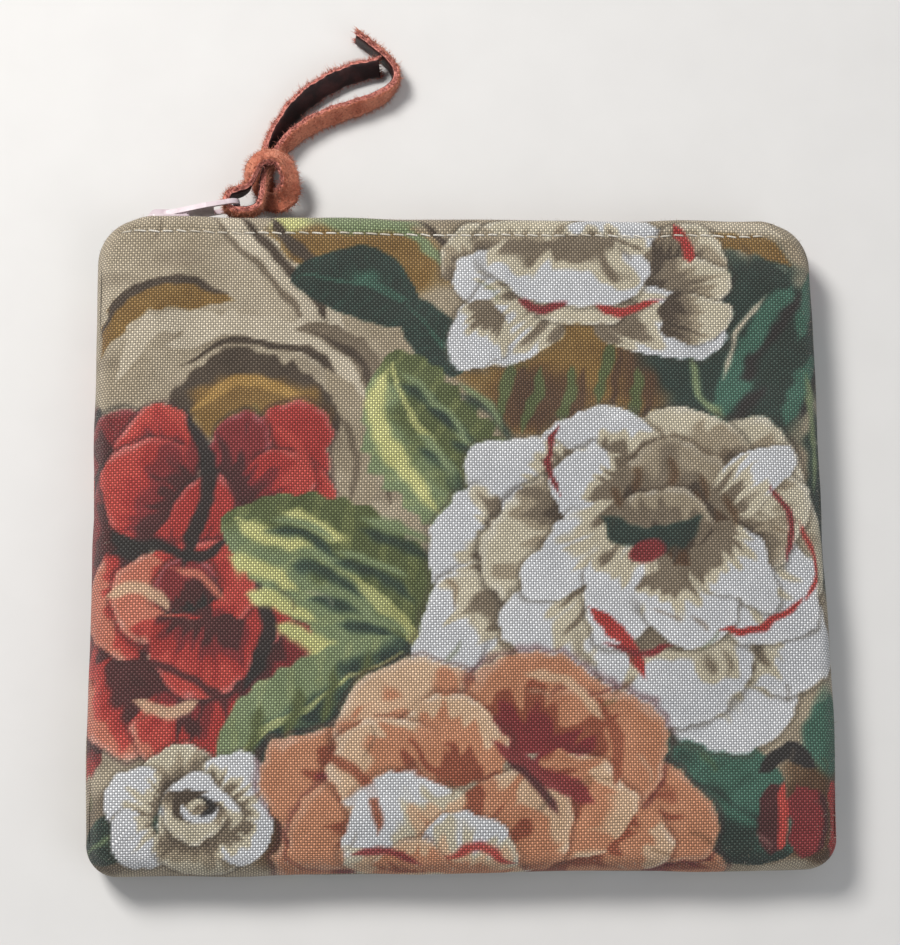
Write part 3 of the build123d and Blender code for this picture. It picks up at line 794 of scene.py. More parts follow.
# %% The dark red rose
def paint_red_rose(cloth):
    cloth.petals(17, [
        ((-70, 10), 180, 26, 18, DARK_RED), ((-70, -12), 180, 26, 18, WARM_RED),
        ((-70, -32), 180, 24, 18, RED), ((-60, 14), 120, 20, 16, DARK_RED),
        ((-53, 16), 95, 16, 14, WARM_RED), ((-31, 14), 60, 20, 18, RED), ((-27, 6), 15, 16, 10, WARM_RED),
        ((-62, 0), 180, 24, 14, DARK_RED), ((-40, 12), 80, 13, 18, DARK_RED),
        ((-32, 8), 30, 14, 13, WARM_RED), ((-34, -20), -10, 26, 14, DARK_RED),
        ((-56, 8), 150, 18, 16, WARM_RED), ((-45, 2), 75, 14, 18, RED), ((-38, -14), -20, 22, 16, RED),
        ((-60, -30), 230, 22, 18, CORAL), ((-44, -34), 265, 20, 16, RED), ((-61, -14), 195, 20, 14, CORAL),
        ((-52, -36), 250, 14, 10, CORAL), ((-44, -10), 20, 20, 20, WARM_RED),
        ((-53, -12), 190, 20, 16, CORAL), ((-46, -22), 265, 20, 15, WARM_RED),
        ((-49, -9), 110, 13, 10, DARK_RED),
    ])
    folds = [
        ([(-49, 22), (-45, 12), (-46, 2), (-50, -6)], 2.6, "black"),
        ([(-43, 18), (-40, 6), (-37, -3)], 1.8, "maroon"),
        ([(-62, -4), (-54, -2), (-46, -4), (-40, -2)], 1.8, "black"),
        ([(-36, -8), (-34, -18), (-38, -28)], 2.4, "black"),
        ([(-62, -24), (-52, -24), (-44, -28), (-40, -34)], 1.6, "maroon"),
        ([(-58, -30), (-52, -32), (-46, -30)], 2.2, "pale peach"),
        ([(-62, -12), (-56, -10), (-52, -14)], 2.4, "pale peach"),
        ([(-52, -6), (-46, -7), (-42, -12)], 1.6, "coral"),
        ([(-34, 18), (-29, 14), (-26, 8)], 1.8, "bright red"),
    ]
    for points, width, ink in folds:
        cloth.stroke(points, width, ink, 0.4, 0.9)


# %% The peach rose
def paint_peach_rose(cloth):
    cloth.petals(61, [
        ((-24, -62), 215, 26, 16, GLOW), ((-4, -64), 268, 34, 16, CREAM), ((22, -63), 300, 34, 16, PEACH),
        ((38, -62), -30, 18, 14, GLOW), ((-26, -44), 165, 22, 20, GLOW), ((34, -50), -15, 20, 18, GLOW),
        ((-10, -32), 110, 30, 18, PEACH), ((14, -30), 75, 30, 18, GLOW), ((24, -38), 30, 24, 22, GLOW),
        ((-22, -52), 200, 20, 18, GLOW), ((-3, -36), 85, 22, 16, PEACH), ((-14, -42), 150, 22, 20, PEACH),
        ((20, -48), -5, 20, 20, PEACH), ((30, -55), -40, 16, 12, PEACH), ((10, -50), 40, 20, 18, PEACH),
        ((-12, -51), 130, 24, 18, CREAM), ((0, -55), 80, 18, 12, CREAM), ((-10, -57), 100, 12, 8, PEACH),
    ])
    folds = [
        ([(4, -36), (10, -41), (17, -44), (22, -47)], 3.4, "crimson"),
        ([(6, -40), (12, -44), (16, -49)], 1.8, "maroon"),
        ([(22, -28), (26, -36), (26, -44)], 2.0, "rust"),
        ([(-26, -38), (-18, -44), (-16, -52)], 1.8, "rust"),
        ([(-20, -34), (-12, -30), (-4, -30)], 2.0, "pale peach"),
        ([(10, -25), (18, -27), (24, -33)], 2.0, "pale peach"),
        ([(-22, -47), (-14, -45), (-6, -47)], 2.2, "white"),
        ([(-4, -56), (2, -54), (8, -57)], 1.4, "red"),
        ([(-20, -56), (-14, -55), (-8, -58)], 1.6, "crimson"),
    ]
    for points, width, ink in folds:
        cloth.stroke(points, width, ink, 0.4, 0.85)


# %% Red accents and loose brush marks over everything
def paint_accents(cloth):
    accents = [
        ([(10, 43), (14, 41), (19, 42)], 1.6, "crimson"),
        ([(24, 42), (30, 41), (37, 43)], 1.7, "red"),
        ([(40, 57), (42, 53), (42, 50)], 1.8, "red"),
        ([(17, 19), (15, 12), (17, 6)], 1.0, "crimson"),
        ([(22, -14), (27, -19), (31, -26)], 2.6, "red"),
        ([(24, -20), (30, -22), (36, -20)], 1.2, "crimson"),
        ([(44, -18), (52, -17), (60, -11)], 1.3, "red"),
        ([(55, 9), (58, 2), (57, -5)], 1.2, "crimson"),
        ([(60, 2), (62, -5), (60, -12)], 0.9, "red"),
        ([(52, -44), (53, -50), (52, -57)], 5.0, "maroon"),
        ([(57, -45), (59, -51), (58, -58)], 6.0, "crimson"),
        ([(64, -44), (66, -50), (65, -58)], 5.0, "red"),
        ([(54, -44), (55, -50), (54, -56)], 1.6, "bright red"),
        ([(61, -46), (62, -51), (61, -57)], 1.4, "maroon"),
        ([(50, -42), (55, -39), (61, -42)], 3.0, "black"),
    ]
    for points, width, ink in accents:
        cloth.stroke(points, width, ink)
    marks = np.random.default_rng(4)
    for _ in range(60):
        x, y = marks.uniform(-66, 66), marks.uniform(-60, 60)
        way, long = marks.uniform(0, math.tau), marks.uniform(2, 6)
        ink = ["umber", "taupe", "pale beige", "olive", "brown"][int(marks.integers(5))]
        tip = (x + long * math.cos(way), y + long * math.sin(way))
        middle = ((x + tip[0]) / 2 + 0.2 * long, (y + tip[1]) / 2)
        cloth.stroke([(x, y), middle, tip], marks.uniform(0.4, 0.9), ink, 0.3, 0.35)


# %% The whole print
def painted(x, y):
    """The ink of the cloth at each place."""
    cloth = Print(x, y)
    for paint in (
        paint_background, paint_scrolls, paint_red_rose, paint_leaves, paint_white_roses, paint_peach_rose,
        paint_accents,
    ):
        paint(cloth)
    unevenness = 0.03 * (ripple(x, y, 0.9, 6) + ripple(x, y, 4.0, 7))
    return np.clip(cloth.ink + unevenness[:, None], 0, 1)

# %% [markdown]
# Each panel is one piece of canvas that runs over the front, rolls round the edges, folds under at the seam
# or at the mouth and ends inside as a seam allowance. A block with bent corners would never show that. So a
# flat grid of cloth is wrapped onto the pouch by formula: a point's distance from the cloth's fold line says
# how far round the roll it lies. The grid keeps its flat place as the cloth's own coordinates for the print.

# %% Wrap flat cloth round the edges
ROLL_IN = 3.0  # how far the roll reaches in from the outline
MOUTH_HALF = 3.65  # half the gap between the two folds of the mouth
MOUTH_FULL, MOUTH_SHUT = 55.5, 60.5  # the mouth is open out to the first and sewn shut from the second
SEAM_GAP = 0.3  # half the gap between the two panels at the seam
FOLD = 0.45  # radius of the fold at the seam or at the mouth
TURN_IN = 5.0  # width of the allowance that is turned in
ALLOWANCE_GAP = 1.0  # the turned allowance stops this far below the cloth's outside
TOP_CORNER, BOTTOM_CORNER = 8.0, 5.0
CROWN, CROWN_REACH = 0.55, 40.0  # the front stands this much higher in its middle, and how far in
DROOP, DROOP_REACH = 0.35, 14.0  # and sinks by this much near its rolls


def arc_length(reach, rise):
    return math.pi / 2 * np.sqrt((reach * reach + rise * rise) / 2)


FULL_ROLL = float(arc_length(ROLL_IN, SEAM_Z - SEAM_GAP))
EXTRA = FULL_ROLL - ROLL_IN


def edge_of(x, y, half_x, half_y, grow):
    """Distance inside a rounded oblong, and the outward direction there."""
    corner = np.where(y > 0, TOP_CORNER, BOTTOM_CORNER) + grow
    qx, qy = np.abs(x) - (half_x - corner), np.abs(y) - (half_y - corner)
    far = np.hypot(qx, qy)
    in_corner = (qx > 0) & (qy > 0)
    side = qx - qy > 0
    gap = np.where(in_corner, corner - far, np.where(side, corner - qx, corner - qy))
    nx = np.where(in_corner, qx / np.maximum(far, 1e-9), np.where(side, 1.0, 0.0))
    ny = np.where(in_corner, qy / np.maximum(far, 1e-9), np.where(side, 0.0, 1.0))
    return gap, nx * np.sign(x), ny * np.sign(y)


def mouth_share(x, ny):
    """1 along the middle of the top edge, where the zip shows, falling to 0 at its ends."""
    return smooth(-np.abs(x), -MOUTH_SHUT, -MOUTH_FULL) * smooth(ny, 0.6, 0.98)


def wrap(x, y, front):
    """Where flat cloth lies on the pouch, how far inside the outline it was, and how far past its fold."""
    gap, nx, ny = edge_of(x, y, HALF_WIDTH + EXTRA, HALF_HEIGHT + EXTRA, EXTRA)
    open_here = SEAM_GAP + (MOUTH_HALF - SEAM_GAP) * mouth_share(x, ny)
    rise = SEAM_Z - open_here
    roll = arc_length(ROLL_IN, rise)
    way = gap - (FULL_ROLL - roll)
    turn = np.clip(way / roll, 0, 1) * math.pi / 2
    inset = ROLL_IN * (1 - np.cos(turn))
    lift = open_here + rise * np.sin(turn)
    under = np.clip(-way, 0, None)
    bend = np.clip(under / FOLD, 0, math.pi)
    inset = np.where(way < 0, FOLD * (1 - np.cos(bend)), inset)
    inside = np.minimum(under - math.pi * FOLD, rise - ALLOWANCE_GAP)
    lift = np.where(way < 0, open_here - FOLD * np.sin(bend) + np.clip(inside, 0, None), lift)
    waver = 0.40 + 0.40 * ripple(x + y, x - y, 31.0, 2)
    waver += 0.25 * ripple(x * 0.7, y * 0.7, 7.0, 3 if front else 8)
    bulge = np.maximum(waver, 0.1) * smooth(-gap, -2 * FULL_ROLL, -FULL_ROLL)
    outward = bulge + np.where(gap < FULL_ROLL, gap - FULL_ROLL + ROLL_IN - inset, 0.0)
    height = SEAM_Z - lift
    if front:
        height = SEAM_Z + lift - DROOP * smooth(-gap, -DROOP_REACH, -FULL_ROLL)
        height += CROWN * smooth(gap, FULL_ROLL, CROWN_REACH)
    return np.stack([x + nx * outward, y + ny * outward, height], axis=-1), gap, way


# %% A grid of flat cloth
def cloth_grid(pitch):
    """Rows and columns of flat cloth, big enough for both turned edges."""
    reach_x, reach_y = HALF_WIDTH + EXTRA + TURN_IN, HALF_HEIGHT + EXTRA + TURN_IN
    xs = np.linspace(-reach_x, reach_x, int(2 * reach_x / pitch) + 1)
    ys = np.linspace(-reach_y, reach_y, int(2 * reach_y / pitch) + 1)
    return xs, ys


def grid_faces(columns, rows, keep=None):
    i, j = np.meshgrid(np.arange(columns - 1), np.arange(rows - 1))
    a = (j * columns + i).ravel()
    faces = np.stack([a, a + 1, a + columns + 1, a + columns], axis=1)
    return faces if keep is None else faces[keep[faces].all(axis=1)]


# %% [markdown]
# Cloth is never quite as flat as a formula. The wrapped grid is made coarse first and given to the cloth
# simulation: a little too big for its outline and blown from inside, it buckles and settles as canvas does.
# Only the way each point moved is kept. A smooth curve through those moves then carries the fine grid.

# %% Let coarse cloth settle
COARSE = 2.6
SETTLE_FRAMES = 18
MOVE_CAP = 1.1  # no point keeps a longer move than this
HELD_WAY = 0.8  # cloth this close to its fold is held by the seam
FREE_FROM, FREE_AT = 3.0, 12.0  # the moves come in gradually between these distances from the fold
TOPSTITCH_Y = HALF_HEIGHT - 3.3


def settled_moves(front):
    """How far each point of a coarse grid moves when its cloth settles, in millimetres."""
    xs, ys = cloth_grid(COARSE)
    x, y = (axis.ravel() for axis in np.meshgrid(xs, ys))
    start, _, way = wrap(x, y, front)
    faces = grid_faces(len(xs), len(ys))
    dice = np.random.default_rng(12 if front else 13)
    shaken = start + dice.normal(0, 0.05, start.shape)
    piece = new_mesh("settling_cloth", shaken, faces if front else faces[:, ::-1])
    hold = piece.vertex_groups.new(name="sewn")
    stitched = (np.abs(y - TOPSTITCH_Y) < COARSE * 0.6) & (np.abs(x) < HALF_WIDTH - 4)
    for i in np.nonzero((way < HELD_WAY) | stitched)[0]:
        hold.add([int(i)], 1.0, "REPLACE")
    cloth = piece.modifiers.new("settle", "CLOTH")
    for setting, value in {
        "quality": 6, "mass": 0.12, "tension_stiffness": 25, "compression_stiffness": 25,
        "shear_stiffness": 12, "bending_stiffness": 0.6, "shrink_min": -0.012, "vertex_group_mass": "sewn",
        "use_pressure": True, "uniform_pressure_force": 0.6,
    }.items():
        setattr(cloth.settings, setting, value)
    cloth.settings.effector_weights.gravity = 0
    cloth.collision_settings.use_collision = False
    scene = bpy.context.scene
    for step in range(1, SETTLE_FRAMES + 1):
        scene.frame_set(step)
    seen = piece.evaluated_get(bpy.context.evaluated_depsgraph_get())
    after = np.empty(len(start) * 3)
    seen.data.vertices.foreach_get("co", after)
    moves = after.reshape(-1, 3) / MM - start
    scene.frame_set(1)
    mesh = piece.data
    bpy.data.objects.remove(piece)
    bpy.data.meshes.remove(mesh)
    length = np.linalg.norm(moves, axis=1)
    print("cloth moved", round(float(length.mean()), 2), "mm on average, at most", round(length.max(), 2))
    share = MOVE_CAP * np.tanh(length / MOVE_CAP) / np.maximum(length, 1e-9)
    moves *= (share * smooth(way, FREE_FROM, FREE_AT))[:, None]
    moves[:, 2] = np.maximum(moves[:, 2], -0.15 if front else 0.0)
    return xs, ys, moves.reshape(len(ys), len(xs), 3)


# %% Carry the moves to finer cloth
def spline_weights(coarse, fine):
    """The matrix that takes values at even coarse places to a smooth curve at fine places."""
    step = coarse[1] - coarse[0]
    place = np.clip((fine - coarse[0]) / step, 0, len(coarse) - 1 - 1e-9)
    cell = place.astype(int)
    t = place - cell
    weights = np.zeros((len(fine), len(coarse)))
    blend = (
        (1 - t) ** 3 / 6,
        (3 * t**3 - 6 * t**2 + 4) / 6,
        (-3 * t**3 + 3 * t**2 + 3 * t + 1) / 6,
        t**3 / 6,
    )
    for k in range(4):
        np.add.at(weights, (np.arange(len(fine)), np.clip(cell + k - 1, 0, len(coarse) - 1)), blend[k])
    return weights


# %% Puckers that stitching pulls into the cloth
STITCH_PITCH = 2.45
STITCH_FROM, STITCH_TO = -61.5, 57.5


def pucker(x, y, way):
    """How far the cloth sinks below its smooth shape, in millimetres."""
    row = y - TOPSTITCH_Y
    along = smooth(x, STITCH_FROM - 1.5, STITCH_FROM + 0.5) * smooth(-x, -STITCH_TO - 1.5, -STITCH_TO + 0.5)
    between = 0.5 + 0.5 * np.cos(2 * math.pi * x / STITCH_PITCH)
    trough = along * (0.28 + 0.22 * between) * np.exp(-((row / 0.8) ** 2))
    gathers = along * 0.10 * between * np.exp(-((row / 2.2) ** 2)) * (row > -4)
    rows = 0.10 * ripple(x / 2.0, y / 2.0, 2.4, 4) * smooth(-way, -12, -3)
    swells = 0.22 * ripple(x, y, 17.0, 5) + 0.10 * ripple(x, y, 8.0, 6)
    return trough - gathers + rows - swells


# %% Make the fine cloth and print it
FINE = 0.46


def outer_panel(name, front):
    """The canvas of one side, wrapped, settled, puckered and printed."""
    xs, ys, moves = settled_moves(front)
    fine_x, fine_y = cloth_grid(FINE)
    x, y = (axis.ravel() for axis in np.meshgrid(fine_x, fine_y))
    points, gap, way = wrap(x, y, front)
    across, down = spline_weights(xs, fine_x), spline_weights(ys, fine_y)
    points = points + np.einsum("aj,jkc,bk->abc", down, moves, across).reshape(-1, 3)
    sink = pucker(x, y, way) * smooth(way, 0.5, 4.0)
    points[:, 2] -= sink if front else -np.maximum(sink, 0.0)
    keep = gap > -TURN_IN
    faces = grid_faces(len(fine_x), len(fine_y), keep)
    used = np.unique(faces)
    number = np.full(len(x), -1)
    number[used] = np.arange(len(used))
    faces = number[faces]
    piece = new_mesh(name, points[used], faces if front else faces[:, ::-1])
    flat = np.stack([x[used], y[used], np.zeros(len(used))], axis=1)
    place = piece.data.attributes.new("cloth", "FLOAT_VECTOR", "POINT")
    place.data.foreach_set("vector", flat.astype(np.float32).ravel())
    ink = painted(flat[:, 0], flat[:, 1] if front else -flat[:, 1])
    linear = np.where(ink < 0.04045, ink / 12.92, ((ink + 0.055) / 1.055) ** 2.4)
    opaque = np.hstack([linear, np.ones((len(linear), 1))])
    colours = piece.data.color_attributes.new("ink", "FLOAT_COLOR", "POINT")
    colours.data.foreach_set("color", opaque.astype(np.float32).ravel())
    print(name, "has", len(faces), "faces of cloth")
    return piece


# %% [markdown]
# The canvas is a plain weave of threads a little under half a millimetre apart. Warp and weft pass over each
# other by turns, so the surface is a chequer of small bulges with dark gaps between them. Two crossed waves
# make it: a thread's roundness one way, times whether it lies on top there. Light and shade are painted into
# the colour too: a painted highlight makes the print paler on each bulge, and painted shade darkens the gaps.

# %% The canvas finish
THREAD = 0.44


def canvas_finish():
    finish = Finish("printed canvas", Roughness=0.85, Sheen_Weight=0.12)
    place = finish.place("Cloth")
    waver = finish.noise(place, 0.35, 2.0)
    slub = finish.noise(place, 1.4, 2.0)
    x, y, _ = finish.axes(place)
    x, y = x + waver * 0.5, y + slub * 0.12
    warp_round = (x * (math.pi / THREAD)).maths("SINE").maths("ABSOLUTE")
    weft_round = (y * (math.pi / THREAD)).maths("SINE").maths("ABSOLUTE")
    column, row = (x / THREAD).maths("FLOOR"), (y / THREAD).maths("FLOOR")
    on_top = ((column + row) * 0.5).maths("FRACT") * 2.0
    over = on_top.step(0.3, 0.7)
    warp = warp_round * (0.55 + 0.45 * weft_round * over)
    weft = weft_round * (0.55 + 0.45 * warp_round * (1 - over))
    height = warp.maths("MAXIMUM", weft) * (warp_round.maths("MINIMUM", weft_round) ** 0.35)
    fibre = finish.noise(place, 9.0, 3.0, 0.7)
    ink = finish.node("ShaderNodeVertexColor", {"layer_name": "ink"}).outputs["Color"]
    shade = finish.mix(fibre.step(0.3, 0.7), (0.86, 0.86, 0.86), (1.0, 1.0, 1.0))
    ink = finish.mix(1.0, ink, shade, "MULTIPLY")
    # Painted shade: the ink taken most of the way to near black, for the shade in the gaps between threads.
    dark = finish.mix(0.70, ink, (0.020, 0.015, 0.011))
    # Painted highlight: the ink made lighter and paler, for the light on the top of each raised thread.
    bright = finish.mix(1.0, ink, (1.38, 1.35, 1.30), "MULTIPLY")
    bright = finish.mix(0.07, bright, (0.86, 0.82, 0.74))
    # Where the painted highlight goes: the tops of the threads that lie over.
    lit_thread_tops = (warp_round * weft_round).step(0.22, 0.74) * over
    gap = height.step(0.10, 0.55)
    # Thread tops take the painted highlight. The rest of the print is half darkened by painted shade, and the
    # gaps take the full painted shade.
    colour = finish.mix(lit_thread_tops, finish.mix(0.52, ink, dark), bright)
    colour = finish.mix(gap, dark, colour)
    finish.set("Base Color", colour)
    finish.set("Roughness", 0.80 + fibre * 0.18)
    finish.bump(height + fibre * 0.25, 0.00022, 0.9)
    return finish


# %% Make both panels
CANVAS = canvas_finish()
CUT_SIZE = (2 * (HALF_WIDTH + EXTRA + TURN_IN) * MM, 2 * (HALF_HEIGHT + EXTRA + TURN_IN) * MM)
for side in ("front", "back"):
    panel = outer_panel(side + "_canvas", side == "front")
    dressed(panel, CANVAS)
    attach(panel, "pouch")
    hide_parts(side + "_panel")
print("each panel was cut", [round(size / MM) for size in CUT_SIZE], "mm")


# %% [markdown]
# Canvas that has been handled stands up in a fine fuzz, easiest to see along the rolled edges against the
# light. Each hair is a thin three-sided spike, and all of them grow where the cloth turns over.

# %% Fuzz along the rolled edges
FIBRE_RADIUS = 0.016


def fuzz(count, seed):
    """Loose fibres along the front's rolls. Most throws of the dice land further in and are left out."""
    dice = np.random.default_rng(seed)
    reach_x, reach_y = HALF_WIDTH + EXTRA, HALF_HEIGHT + EXTRA
    x = dice.uniform(-reach_x, reach_x, count * 12)
    y = dice.uniform(-reach_y, reach_y, count * 12)
    near, _, _ = edge_of(x, y, reach_x, reach_y, EXTRA)
    keep = np.nonzero((near > 1.5) & (near < FULL_ROLL + 1.5))[0][:count]
    x, y = x[keep], y[keep]
    root, beside, above = (wrap(*place, True)[0] for place in ((x, y), (x + 0.2, y), (x, y + 0.2)))
    outward = np.cross(beside - root, above - root)
    outward /= np.maximum(np.linalg.norm(outward, axis=1), 1e-9)[:, None]
    points, faces = [], []
    for i in range(len(root)):
        way_out = outward[i] + dice.normal(0, 0.6, 3)
        way_out /= np.linalg.norm(way_out)
        long = dice.gamma(3.0, 0.16)
        bent = way_out + dice.normal(0, 0.5, 3)
        side = np.cross(way_out, dice.normal(0, 1, 3))
        side *= FIBRE_RADIUS / max(np.linalg.norm(side), 1e-6)
        other = np.cross(side, way_out)
        start, middle = root[i] - 0.05 * outward[i], root[i] + 0.5 * long * way_out
        end = middle + 0.5 * long * bent / np.linalg.norm(bent)
        faces += spike_faces(len(points))
        points += [start - side, start + side, start + other, middle - side, middle + side, middle + other]
        points.append(end)
    return new_mesh("canvas_fuzz", points, faces)


def fuzz_finish():
    finish = Finish("loose cotton fibre", Roughness=0.95)
    drift = finish.noise(finish.place(), 200.0, 2.0)
    finish.set("Base Color", finish.mix(drift.step(0.35, 0.65), (0.40, 0.34, 0.27), (0.62, 0.57, 0.49)))
    return finish


hairs = fuzz(3200, 77)
dressed(hairs, fuzz_finish())
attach(hairs, "pouch")
print("fuzz has", len(hairs.data.polygons) // 7, "hairs")

# %% [markdown]
# The topstitch is what holds the hem to the zip tape. Each stitch is a short bridge of three plies of cotton
# twisted together. It comes up through one needle hole and goes down the next, and the cloth sinks at both.

# %% Tubes that follow a line
def tube(line, radius, sides=6):
    """Points and faces of a closed tube along a line; radius may change along it."""
    along = np.gradient(line, axis=0)
    along /= np.maximum(np.linalg.norm(along, axis=1), 1e-9)[:, None]
    guide = np.where(np.abs(along[:, 2:3]) > 0.9, (1.0, 0.0, 0.0), (0.0, 0.0, 1.0))
    one = np.cross(along, guide)
    one /= np.linalg.norm(one, axis=1)[:, None]
    two = np.cross(along, one)
    turn = 2 * math.pi * np.arange(sides) / sides
    thick = np.broadcast_to(radius, len(line))[:, None, None]
    circle = one[:, None] * np.cos(turn)[:, None] + two[:, None] * np.sin(turn)[:, None]
    rings = line[:, None] + thick * circle
    i, j = np.meshgrid(np.arange(len(line) - 1), np.arange(sides), indexing="ij")
    k = (j + 1) % sides
    faces = np.stack([i * sides + j, (i + 1) * sides + j, (i + 1) * sides + k, i * sides + k], axis=-1)
    faces = [tuple(f) for f in faces.reshape(-1, 4)]
    faces.append(tuple(range(sides)))
    faces.append(tuple((len(line) - 1) * sides + j for j in range(sides))[::-1])
    return rings.reshape(-1, 3), faces


def joined(name, tubes):
    """Many tubes as one piece."""
    points, faces, first = [], [], 0
    for more_points, more_faces in tubes:
        points.append(more_points)
        faces += [tuple(i + first for i in f) for f in more_faces]
        first += len(more_points)
    return new_mesh(name, np.vstack(points), faces)


# %% Sew the two rows of topstitching
PLY = 0.09


def stitch(start, end, rise, turned):
    """One stitch of three twisted plies between two needle holes, rising by rise in the middle."""
    t = np.linspace(0, 1, 15)
    arch = np.clip(np.sin(math.pi * t), 0, None) ** 0.35
    middle = start + (end - start) * t[:, None]
    middle[:, 2] += rise * arch
    for ply in range(3):
        turn = 2 * math.pi * (ply / 3 + 1.7 * t) * turned
        line = middle.copy()
        line[:, 1] += PLY * 1.05 * np.cos(turn)
        line[:, 2] += PLY * 1.05 * np.sin(turn)
        yield tube(line, PLY * (0.45 + 0.55 * arch))


def thread_finish():
    finish = Finish("cotton thread", Roughness=0.9)
    place = finish.place()
    fibre = finish.noise(place, 4000.0, 4.0, 0.7)
    drift = finish.noise(place, 160.0, 2.0)
    colour = finish.mix(drift.step(0.4, 0.6), (0.56, 0.51, 0.43), (0.74, 0.70, 0.63))
    finish.set("Base Color", finish.mix(fibre.step(0.30, 0.55), (0.30, 0.26, 0.20), colour))
    finish.bump(fibre, 0.0001, 0.8)
    return finish


THREAD_FINISH = thread_finish()
dice = np.random.default_rng(31)
holes = np.round(np.arange(STITCH_FROM, STITCH_TO, STITCH_PITCH) / STITCH_PITCH) * STITCH_PITCH
row_y = np.full(len(holes), TOPSTITCH_Y)
for side, way_out in (("front", 1), ("back", -1)):
    surface, _, way = wrap(holes, row_y, side == "front")
    sink = pucker(holes, row_y, way)
    surface[:, 2] -= sink if side == "front" else -np.maximum(sink, 0.0)
    surface[:, 1] += dice.normal(0, 0.07, len(holes))
    stitches = []
    for start, end in zip(surface, surface[1:]):
        reach = np.array([dice.uniform(0.14, 0.34), dice.uniform(0.02, 0.14), 0.0])
        stitches += stitch(start + reach, end - reach, way_out * dice.uniform(0.16, 0.28), way_out)
    row = joined(side + "_stitches", stitches)
    dressed(row, THREAD_FINISH)
    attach(row, "pouch")
    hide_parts(side + "_topstitch")
    print(side, "row has", len(holes) - 1, "stitches")

# %% [markdown]
# A coil zip has no separate teeth. One stiff nylon thread is wound into a long flat spring, and each turn is
# pressed wider at its head so that it holds between two turns of the other side. Two such springs are wound
# here along the mouth, with a straight lane between them for the slider's post.

# %% Wind the coils
COIL_FROM, COIL_TO = -56.6, 55.4
COIL_PITCH = 1.25
TURNS = int((COIL_TO - COIL_FROM) / COIL_PITCH)
TURN_SAMPLES = 22
CHAIN_HALF = 2.05
FOOT_INSET = 0.24
LANE_HALF, HEAD_INSET = 0.55, 0.50
COIL_Y, COIL_RISE = 57.75, 0.42


def coil(name, side):
    """One winding, on the front when side is 1 and on the back when it is -1."""
    u = np.arange(TURNS * TURN_SAMPLES + 1) / TURN_SAMPLES
    swing = 2 * math.pi * u
    head = 0.5 - 0.5 * np.cos(swing)
    out = CHAIN_HALF - FOOT_INSET - (CHAIN_HALF - LANE_HALF - HEAD_INSET) * head ** 0.8
    rise = COIL_Y + COIL_RISE * np.sin(swing)
    lean = 0.30 * np.sin(swing + 0.6)
    line = np.stack([COIL_FROM + COIL_PITCH * (u + lean / 3), rise, SEAM_Z + side * out], axis=1)
    return joined(name, [tube(line, 0.20 + 0.05 * head ** 4, 8)])


def nylon_finish():
    finish = Finish("coil nylon", Roughness=0.35)
    place = finish.place()
    drift = finish.noise(place, 500.0, 3.0)
    finish.set("Base Color", finish.mix(drift.step(0.35, 0.65), (0.42, 0.33, 0.22), (0.56, 0.46, 0.33)))
    finish.set("Roughness", 0.28 + drift * 0.25)
    finish.bump(drift, 0.00005, 0.5)
    return finish


NYLON = nylon_finish()
for side, way_out in (("front", 1), ("back", -1)):
    winding = coil(side + "_coil_winding", way_out)
    dressed(winding, NYLON)
    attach(winding, "pouch")
    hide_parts(side + "_coil")
    print(side, "coil has", TURNS, "turns")


# %% [markdown]
# The tape is a narrow herringbone ribbon. Its ribs lean one way, then the other, in lanes along the zip.
# The lining is plain fine cotton, the interfacing a pressed felt of pale fibres, and the stops and the spring
# are metal. They keep the solid's own shape, so only their finish is made.

# %% Finishes of the small parts
def tape_finish():
    finish = Finish("herringbone tape", Roughness=0.9)
    place = finish.place()
    x, _, z = finish.axes(place)
    lane = ((z * 700.0).maths("FRACT") - 0.5).maths("ABSOLUTE") * 2.0
    rib = ((x * 2600.0 + lane * 1.6) * math.pi).maths("SINE").maths("ABSOLUTE")
    fibre = finish.noise(place, 5000.0, 3.0)
    finish.set("Base Color", finish.mix(rib.step(0.1, 0.7), (0.16, 0.12, 0.08), (0.46, 0.38, 0.27)))
    finish.bump(rib + fibre * 0.3, 0.00012, 0.8)
    return finish


def woven_finish(name, low, high, threads):
    finish = Finish(name, Roughness=0.9)
    place = finish.place()
    x, y, z = finish.axes(place)
    warp = (x * threads).maths("SINE").maths("ABSOLUTE")
    weft = ((y + z) * threads).maths("SINE").maths("ABSOLUTE")
    cloth = warp.maths("MAXIMUM", weft)
    slub = finish.noise(place, 900.0, 3.0)
    finish.set("Base Color", finish.mix((cloth * 0.7 + slub * 0.3).step(0.35, 0.95), low, high))
    finish.bump(cloth + slub * 0.4, 0.00008, 0.8)
    return finish


def felt_finish():
    finish = Finish("interfacing felt", Roughness=0.95)
    place = finish.place()
    fibre = finish.noise(place, 1500.0, 6.0, 0.75)
    finish.set("Base Color", finish.mix(fibre.step(0.35, 0.65), (0.30, 0.27, 0.22), (0.62, 0.58, 0.50)))
    finish.bump(fibre, 0.0002, 0.8)
    return finish


def metal_finish(name, low, high, gloss):
    finish = Finish(name, Metallic=1.0, Roughness=gloss)
    place = finish.place()
    scuff = finish.noise(place, 1200.0, 4.0, 0.6)
    finish.set("Base Color", finish.mix(scuff.step(0.3, 0.7), low, high))
    finish.set("Roughness", scuff * 0.3 + (gloss - 0.1))
    finish.bump(scuff, 0.00003, 0.4)
    return finish


def enamel_finish():
    finish = Finish("slider enamel", Roughness=0.30, Coat_Weight=0.6, Coat_Roughness=0.12)
    place = finish.place()
    cloud = finish.noise(place, 420.0, 3.0)
    speck = finish.noise(place, 2600.0, 3.0, 0.6)
    colour = finish.mix(cloud.step(0.3, 0.7), (0.50, 0.40, 0.44), (0.62, 0.53, 0.56))
    colour = finish.mix(speck.step(0.68, 0.76) * 0.5, colour, (0.45, 0.32, 0.34))
    finish.set("Base Color", colour)
    finish.set("Roughness", 0.20 + cloud * 0.25)
    finish.bump(cloud * 0.7 + speck * 0.3, 0.00006, 0.5)
    return finish


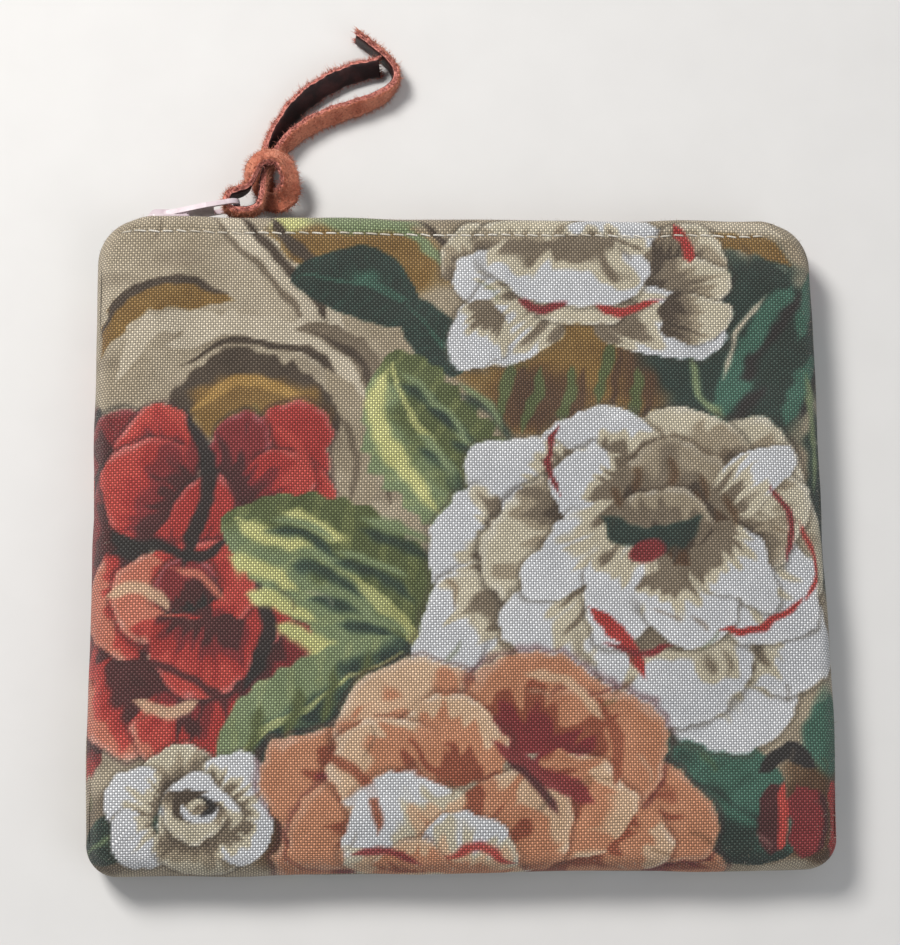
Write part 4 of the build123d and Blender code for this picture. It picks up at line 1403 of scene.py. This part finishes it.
# %% Dress the solids
TAPE, FELT, ENAMEL = tape_finish(), felt_finish(), enamel_finish()
LINING = woven_finish("lining cotton", (0.30, 0.24, 0.17), (0.66, 0.58, 0.46), 9000.0)
STOP = metal_finish("stop metal", (0.55, 0.52, 0.48), (0.80, 0.78, 0.74), 0.35)
SPRING = metal_finish("spring steel", (0.40, 0.41, 0.43), (0.66, 0.67, 0.70), 0.28)
for nodes, finish in (
    (("front_zipper_tape", "back_zipper_tape"), TAPE),
    (("front_interfacing", "back_interfacing"), FELT),
    (("front_lining", "back_lining"), LINING),
    (("seam_thread", "lining_closing_stitches"), THREAD_FINISH),
    (("front_top_stop", "back_top_stop", "bottom_stop"), STOP),
    (("lock_spring",), SPRING),
    (("slider_body", "slider_crown", "pull_tab"), ENAMEL),
):
    for node in nodes:
        dressed(bpy.data.objects[node], finish)
    print(finish.material.name, "on", ", ".join(nodes))

# %% [markdown]
# A plain pale floor and soft light, as in a small studio. A strong lamp, high up at the left beyond the zip,
# gives the rolls their shading. A wider and weaker one fills from the other side, and the sky does the rest.

# %% Floor and light
FLOOR_HALF = 900


def studio_floor():
    corners = [(FLOOR_HALF * x, FLOOR_HALF * y, 0) for x, y in ((-1, -1), (1, -1), (1, 1), (-1, 1))]
    floor = new_mesh("floor", corners, [(0, 1, 2, 3)], False)
    finish = Finish("pale floor", Roughness=0.75)
    cloud = finish.noise(finish.place(), 90.0, 3.0)
    finish.set("Base Color", finish.mix(cloud, (0.60, 0.59, 0.58), (0.64, 0.63, 0.62)))
    dressed(floor, finish)


studio_floor()


# %% Lamps and sky
def lamp(name, where, aim, size, power, tint=(1.0, 1.0, 1.0)):
    data = bpy.data.lights.new(name, "AREA")
    data.size = size
    data.energy = power
    data.color = tint
    light = bpy.data.objects.new(name, data)
    way = Vector(where) - Vector(aim)
    light.matrix_world = Matrix.Translation(Vector(where)) @ way.to_track_quat("Z", "Y").to_matrix().to_4x4()
    bpy.context.scene.collection.objects.link(light)
    print(name, "lamp", power, "W")


lamp("key", (-0.35, 0.35, 0.55), (0, 0, 0), 0.22, 6.0, (1.0, 0.98, 0.95))
lamp("fill", (0.45, -0.35, 0.50), (0, 0, 0), 0.60, 1.4, (0.94, 0.97, 1.0))
world = bpy.data.worlds.new("studio")
world.use_nodes = True
sky = world.node_tree.nodes["Background"].inputs
sky["Color"].default_value = (0.95, 0.97, 1.0, 1.0)
sky["Strength"].default_value = 0.34
bpy.context.scene.world = world
bpy.context.scene.view_settings.view_transform = "Standard"
